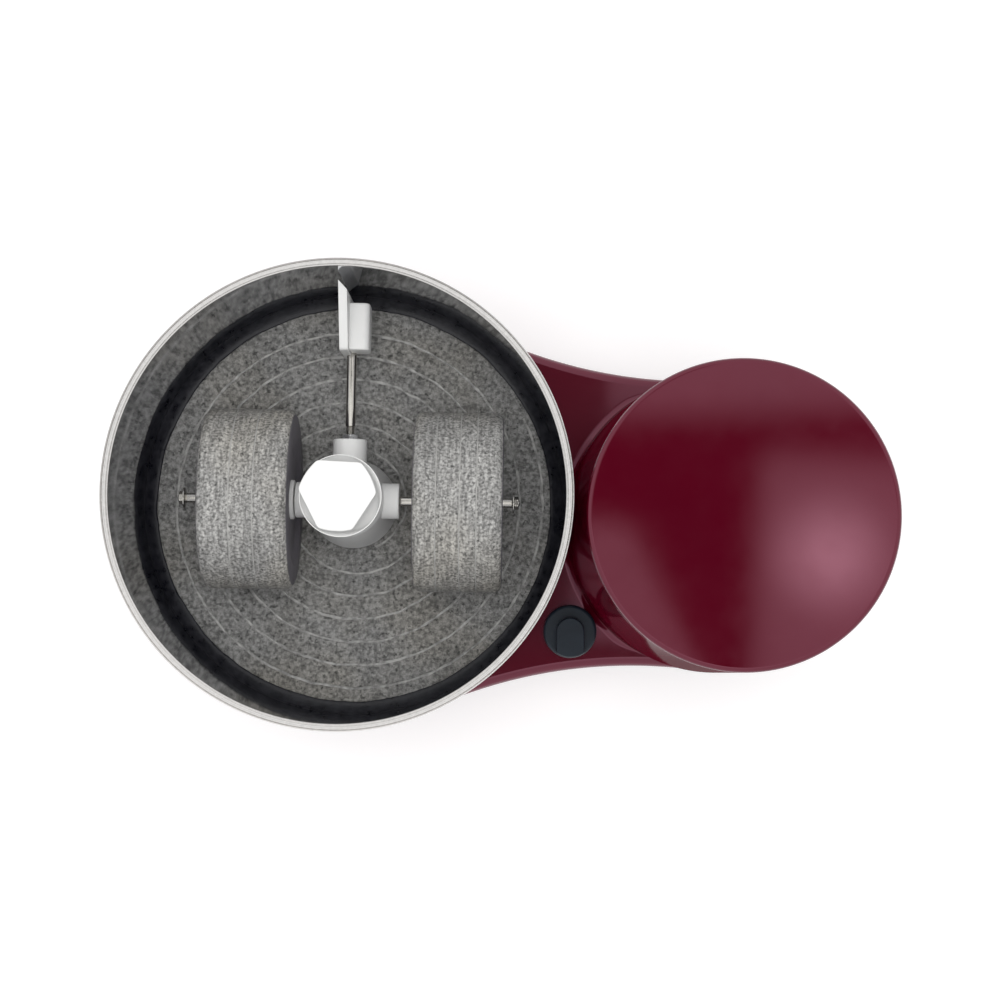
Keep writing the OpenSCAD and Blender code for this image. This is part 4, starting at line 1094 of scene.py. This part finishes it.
def build_rod():
    bm = bmesh.new()
    place = along_rod()
    chamfer = 0.4 * MM
    neck_end = ROD_SOCKET + 8 * MM
    held = rounded([(0, ROD_IN), (AXLE_R, ROD_IN), (AXLE_R, ROD_SOCKET), (0, ROD_SOCKET)], 3)
    revolve(bm, held, 48, place)
    thread(bm, ROD_THREAD_R, 0.8 * MM, ROD_SOCKET - 1 * MM, neck_end + 1 * MM, place)
    bar = rounded([(0, neck_end), (AXLE_R, neck_end, chamfer), (AXLE_R, ROD_OUT, chamfer), (0, ROD_OUT)], 3)
    revolve(bm, bar, 64, place)
    piece("scraper_bar", bm, ["bright_steel"], "roller_assembly", ["scraper_rod"])
    bm = bmesh.new()
    add_nut(bm, ROD_NUT_ACROSS, ROD_THREAD_R, ROD_SOCKET, ROD_SOCKET + 3 * MM, place)
    piece("bar_nut", bm, ["nut_plating"], "roller_assembly", ["rod_nut"])


def socket(bm, r, reach, bore, place):
    """A round socket with a soft rim and the rod's hole in its end."""
    lip = 0.8 * MM
    profile = rounded([(r, AXLE_IN), (r, reach, lip), (bore, reach, 0.3 * MM), (bore, AXLE_IN)], 4)
    revolve(bm, profile, 96, place)


def build_hub():
    bm = bmesh.new()
    bore = 5 * MM
    profile = rounded([
        (HUB_FOOT_IN_R, HUB_FOOT_Z + 40 * MM), (HUB_FOOT_IN_R, HUB_FOOT_Z),
        (HUB_FOOT_R, HUB_FOOT_Z, 0.8 * MM), (HUB_FOOT_R, HUB_FOOT_Z + 6 * MM, 6 * MM),
        (HUB_WAIST_R, ROD_Z - 4 * MM, 8 * MM),
        (HUB_SHOULDER_R, AXLE_Z + 12 * MM, 4 * MM), (HUB_NECK_R, AXLE_Z + 17 * MM, 3 * MM),
        (HUB_NECK_R, HUB_TOP, 1 * MM), (bore, HUB_TOP), (bore, HUB_TOP - 20 * MM)], 6)
    revolve(bm, profile, 144, hub_frame)
    for side in (-1, 1):
        socket(bm, AXLE_SOCKET_R, SOCKET_REACH, AXLE_R, along_axle(side))
    socket(bm, ROD_SOCKET_R, ROD_SOCKET, AXLE_R, along_rod())
    piece("hub_moulding", bm, ["white_nylon"], "roller_assembly", ["roller_hub"])


def smooth_min(a, b, blend):
    """The smaller of two lengths, with the corner between them rounded off."""
    h = max(0.0, min(1.0, 0.5 + 0.5 * (b - a) / blend))
    return b + (a - b) * h - blend * h * (1 - h)


def cap_outline(angle, z, collar):
    """The cap's body from its axis: three shallow curved sides and three hollow finger flats."""
    side_r, side_half = 37 * MM, 21.4 * MM
    hollow_r = 35.8 * MM
    hollow_z = CAP_Z - 4 * MM
    hollow_x = CAP_FLAT + math.sqrt(hollow_r ** 2 - (CAP_Z - hollow_z) ** 2)
    corner = 1.2 * MM
    r = CAP_R - 1.1 * MM
    shift = side_half - side_r
    spread = side_r + 0.7 * MM * (CAP_Z - z) / (CAP_Z - collar)
    for degrees in (60, 180, 300):
        off = angle - math.radians(degrees)
        curved = shift * math.cos(off) + math.sqrt(spread ** 2 - (shift * math.sin(off)) ** 2)
        r = smooth_min(r, curved, corner)
    flat = hollow_x - math.sqrt(hollow_r ** 2 - (z - hollow_z) ** 2)
    for degrees in (0, 120, 240):
        facing = math.cos(angle - math.radians(degrees))
        if facing > 0.3:
            r = smooth_min(r, flat / facing, corner)
    flare = 2.4 * MM * math.exp(-(z - collar) / (1.2 * MM))
    return smooth_min(r + flare, CAP_R - 0.5 * MM, 0.4 * MM)


def build_cap():
    """A round collar that flows up into the body that the fingers turn."""
    foot = HUB_TOP + 0.5 * MM
    collar = foot + 5.4 * MM
    top_round = 0.9 * MM

    def shape(a, r, z):
        if z <= collar + 1e-6:
            return r, z
        return r * cap_outline(a, z, collar) / CAP_R, z

    profile = rounded([(4.5 * MM, foot + 4 * MM), (4.5 * MM, foot), (CAP_R, foot, 0.8 * MM),
                       (CAP_R, collar)], 4)
    rise = CAP_Z - top_round - collar
    profile += [(CAP_R, collar + rise * t ** 1.8) for t in (i / 30 for i in range(1, 31))]
    for x, y in arc(0, 0, top_round, 0, 90, 5)[1:]:
        profile.append((CAP_R - top_round + x, CAP_Z - top_round + y))
    profile += [(CAP_R * t, CAP_Z) for t in (0.9, 0.6, 0.3)] + [(0, CAP_Z)]
    bm = bmesh.new()
    revolve(bm, profile, 216, drum_frame @ Matrix.Rotation(CAP_TURN, 4, "Z"), wobble=shape)
    piece("finger_cap", bm, ["white_nylon"], "lock_cap", ["lock_cap"], level=True)


def add_mesh(bm, other):
    """Moves another bmesh's faces into bm."""
    mesh = bpy.data.meshes.new("part")
    other.to_mesh(mesh)
    other.free()
    bm.from_mesh(mesh)
    bpy.data.meshes.remove(mesh)


def blade_outline():
    """The blade's side view: distance from the axis and height."""
    top_r, low_r = 3 * MM, 28 * MM
    low = BED_Z + BLADE_CLEAR
    inner_z = BLADE_Z - BLADE_FALL
    points = arc(BLADE_IN + top_r, inner_z - top_r, top_r, 110, 180, 6)
    points += arc(BLADE_IN + low_r, low + low_r, low_r, 180, 270, 16)
    points += [(BED_R - 1 * MM, low), (BLADE_OUT, BED_Z + SEAL_H + BLADE_CLEAR), (BLADE_OUT, BLADE_Z)]
    return points


def sleeve_outline():
    """The sleeve's section round the rod, with Y downwards."""
    left, low_r, top_r = 4.5 * MM, 6 * MM, 4.5 * MM
    points = arc(low_r - left, 0, low_r, 180, 90, 12)
    points += arc(SLEEVE_REACH - low_r, 0, low_r, 90, 0, 12)
    points += arc(SLEEVE_REACH - top_r, top_r - SLEEVE_RISE, top_r, 0, -90, 10)
    return points + [(1 * MM - left, -SLEEVE_RISE), (-left, 1 * MM - SLEEVE_RISE)]


def build_scraper():
    bm = bmesh.new()
    upright = Matrix(((0, 0, 1, BLADE_LEFT), (1, 0, 0, 0), (0, 1, 0, 0), (0, 0, 0, 1)))
    prism(bm, blade_outline(), 0, BLADE_T, upright)
    cut = bmesh.ops.bisect_plane(bm, geom=bm.verts[:] + bm.edges[:] + bm.faces[:],
                                 plane_co=Vector((BLADE_LEFT, BLADE_OUT, 0)),
                                 plane_no=Vector((1, 1, 0)).normalized(), clear_outer=True)
    edges = [g for g in cut["geom_cut"] if isinstance(g, bmesh.types.BMEdge)]
    bmesh.ops.holes_fill(bm, edges=edges)
    soften(bm, 0.5 * MM, 3, 30)
    sleeve = bmesh.new()
    rod_place = Matrix.Translation((0, 0, ROD_Z)) @ Matrix.Rotation(-math.pi / 2, 4, "X")
    prism(sleeve, sleeve_outline(), SLEEVE_IN, SLEEVE_OUT, rod_place)
    soften(sleeve, 1.1 * MM, 4, 50)
    add_mesh(bm, sleeve)
    bmesh.ops.transform(bm, matrix=hub_frame, verts=bm.verts)
    piece("scraper_vane", bm, ["white_nylon"], "scraper", ["scraper_blade"])


# Knob

def build_knob():
    foot = DECK_Z + KNOB_GAP
    skirt = foot + 8 * MM
    top = foot + 17 * MM
    half = 9 * MM
    bm = bmesh.new()
    profile = rounded([(KNOB_BORE_R, foot), (KNOB_R, foot, 0.4 * MM), (KNOB_R - 0.2 * MM, skirt, 2 * MM),
                       (0, skirt)], 6)
    revolve(bm, profile, 128)
    grip = bmesh.new()
    rim = KNOB_R - 0.9 * MM
    reach = math.sqrt(rim ** 2 - half ** 2)
    end = math.degrees(math.atan2(half, -reach))
    outline = arc(0, 0, half, -90, 90, 24) + arc(0, 0, rim, end, 360 - end, 20)
    prism(grip, outline, skirt - 1 * MM, top)
    soften(grip, 1.0 * MM, 3, 50)
    add_mesh(bm, grip)
    place = Matrix.Translation((knob_x, knob_y, 0)) @ Matrix.Rotation(KNOB_TURN, 4, "Z")
    bmesh.ops.transform(bm, matrix=place, verts=bm.verts)
    piece("knob_moulding", bm, ["knob_plastic"], "control_knob", ["control_knob"], level=True)


# Stage

FLOOR_GLOW = 0.35
WORLD_LIGHT = 0.80
LAMP_LIGHT = 0.32
LAMP_HEIGHT = 2.6
LAMP_R = 0.6
CAMERA_LENS = 75.6
CAMERA_PLACE = (0.00253, -0.05506, 1.45854)
CAMERA_TURN = (2.7059, 0.0498, 2.9796)


def straight_ray(s):
    """1 for rays that come straight from the camera, a mirror or clear material."""
    seen = s.node("LightPath").outputs
    mirrored = s.maths("MAXIMUM", seen["Is Glossy Ray"], seen["Is Transmission Ray"])
    return s.maths("MAXIMUM", seen["Is Camera Ray"], mirrored)


def make_floor():
    size = 4.0
    mesh = bpy.data.meshes.new("floor")
    bm = bmesh.new()
    bmesh.ops.create_circle(bm, cap_ends=True, segments=64, radius=size)
    bm.to_mesh(mesh)
    bm.free()
    floor = bpy.data.objects.new("floor", mesh)
    bpy.context.scene.collection.objects.link(floor)
    s = Surface("floor_white", (0.8, 0.8, 0.8), roughness=1.0)
    strength = s.maths("MULTIPLY", straight_ray(s), FLOOR_GLOW)
    glow = s.fill(s.node("Emission"), Color=(1, 1, 1), Strength=strength)
    add = s.node("AddShader")
    output = s.tree.nodes["Material Output"]
    s.link(s.shader.outputs["BSDF"], add.inputs[0])
    s.link(glow.outputs["Emission"], add.inputs[1])
    s.link(add.outputs["Shader"], output.inputs["Surface"])
    mesh.materials.append(s.material)


# The ceiling as the gloss mirrors it: a ray's direction is u = X / Z and v = Y / Z
BACK_PANEL_V = 0.0865
BACK_PANEL_LEAN = 0.08
RIGHT_PANEL_U = 0.1205
RIGHT_PANEL_V = 0.076
SLANT_SUM = 0.080
SLANT_LEAN = 0.53
SLANT_V = 0.040
SLANT_LIGHT = 0.9
DIM_U = 0.034
DIM_BACK = (0.046, 0.078)
DIM_FRONT = (0.072, -0.017)
DIM_LIGHT = 0.15
LEFT_PANEL_U = -0.0125
FAR_LEFT_U = -0.030
FRONT_PANEL_V = -0.060
SIDE_LIGHT = 1.3
DARK_LIGHT = 0.01
SPOT_U, SPOT_V, SPOT_R, SPOT_LIGHT = 0.156, 0.0295, 0.038, 2.4
CEILING_FROM, CEILING_TO = 0.25, 0.60


def overhead_pattern(s):
    """Brightness of the studio by direction: white all round, with a dark ceiling between its panels."""
    split = s.node("SeparateXYZ")
    s.link(s.node("TexCoord").outputs["Generated"], split.inputs["Vector"])
    up = s.maths("MAXIMUM", split.outputs["Z"], 0.02)
    u = s.maths("DIVIDE", split.outputs["X"], up)
    v = s.maths("DIVIDE", split.outputs["Y"], up)

    def above(value, edge, soft):
        return s.remap(value, edge - soft, edge + soft, smooth=True)

    def below(value, edge, soft, most=1.0):
        return s.remap(value, edge - soft, edge + soft, most, 0.0, smooth=True)

    def distance(x, y):
        a, b = s.maths("SUBTRACT", u, x), s.maths("SUBTRACT", v, y)
        return s.maths("SQRT", s.maths("ADD", s.maths("MULTIPLY", a, a), s.maths("MULTIPLY", b, b)))

    def product(a, b):
        return s.maths("MULTIPLY", a, b)

    def larger(a, b):
        return s.maths("MAXIMUM", a, b)

    back_panel = above(s.maths("SUBTRACT", v, product(u, BACK_PANEL_LEAN)), BACK_PANEL_V, 0.012)
    right_panel = product(above(u, RIGHT_PANEL_U, 0.009), below(v, RIGHT_PANEL_V, 0.012))
    slant = below(s.maths("ADD", u, product(v, SLANT_LEAN)), SLANT_SUM, 0.008)
    wedge = product(slant, below(v, SLANT_V, 0.005, SLANT_LIGHT))
    panels = larger(larger(back_panel, right_panel), wedge)
    behind = product(below(u, DIM_BACK[0], 0.002), above(v, DIM_BACK[1], 0.003))
    before = product(below(u, DIM_FRONT[0], 0.002), below(v, DIM_FRONT[1], 0.002))
    dim = larger(larger(behind, before), below(u, DIM_U, 0.002))
    panels = s.maths("ADD", product(panels, s.maths("SUBTRACT", 1.0, dim)), product(dim, DIM_LIGHT))
    near_left = product(below(u, LEFT_PANEL_U, 0.003, SIDE_LIGHT), below(v, 0.0, 0.006))
    left_panel = larger(near_left, below(u, FAR_LEFT_U, 0.004, 0.5))
    front_panel = below(v, FRONT_PANEL_V, 0.003, SIDE_LIGHT)
    level = larger(larger(panels, larger(left_panel, front_panel)), DARK_LIGHT)
    spot = s.remap(distance(SPOT_U, SPOT_V), 0.0, SPOT_R, SPOT_LIGHT, 0.0, smooth=True)
    level = s.maths("ADD", level, spot)
    outside = s.remap(distance(0.0, 0.0), CEILING_FROM, CEILING_TO, smooth=True)
    inside = s.maths("SUBTRACT", 1.0, outside)
    return s.maths("ADD", product(level, inside), outside)


def make_world():
    world = bpy.data.worlds.new("studio")
    bpy.context.scene.world = world
    world.use_nodes = True
    s = Nodes(world.node_tree)
    share = s.remap(straight_ray(s), 0.0, 1.0, WORLD_LIGHT, 1.0)
    strength = s.maths("MULTIPLY", overhead_pattern(s), share)
    s.fill(s.tree.nodes["Background"], Color=(1, 1, 1), Strength=strength)


def make_lamp():
    """A wide soft lamp overhead, which lights the drum's inside and isn't mirrored in the gloss."""
    data = bpy.data.lights.new("overhead", "AREA")
    data.shape = "DISK"
    data.size = 2 * LAMP_R
    share = LAMP_R ** 2 / (LAMP_R ** 2 + LAMP_HEIGHT ** 2)
    data.energy = LAMP_LIGHT * (math.pi * LAMP_R) ** 2 / share
    lamp = bpy.data.objects.new("overhead", data)
    lamp.location = (0, 0, LAMP_HEIGHT)
    lamp.visible_glossy = False
    bpy.context.scene.collection.objects.link(lamp)


def make_camera():
    data = bpy.data.cameras.new("camera")
    data.sensor_width = 36
    data.lens = CAMERA_LENS
    data.clip_end = 20
    camera = bpy.data.objects.new("camera", data)
    camera.location = CAMERA_PLACE
    camera.rotation_euler = Euler([math.radians(a) for a in CAMERA_TURN], "XYZ")
    bpy.context.scene.collection.objects.link(camera)
    bpy.context.scene.camera = camera


make_camera()
make_world()
make_lamp()
make_floor()
dress_cad_nodes()
build_housing()
build_lid()
build_drum()
build_bed()
build_seal()
build_stone(-1, LEFT_IN, "left_stone", (20 * MM, 34 * MM))
build_stone(1, RIGHT_IN, "right_stone", (14 * MM, 28 * MM, 38 * MM))
build_bush(-1, LEFT_IN, "left_stone_bush")
build_bush(1, RIGHT_IN, "right_stone_bush")
build_axle(-1, LEFT_REACH, "left_axle")
build_axle(1, RIGHT_REACH, "right_axle")
build_axle_ends()
build_rod()
build_hub()
build_cap()
build_scraper()
build_knob()

bpy.context.scene.view_settings.view_transform = "Standard"
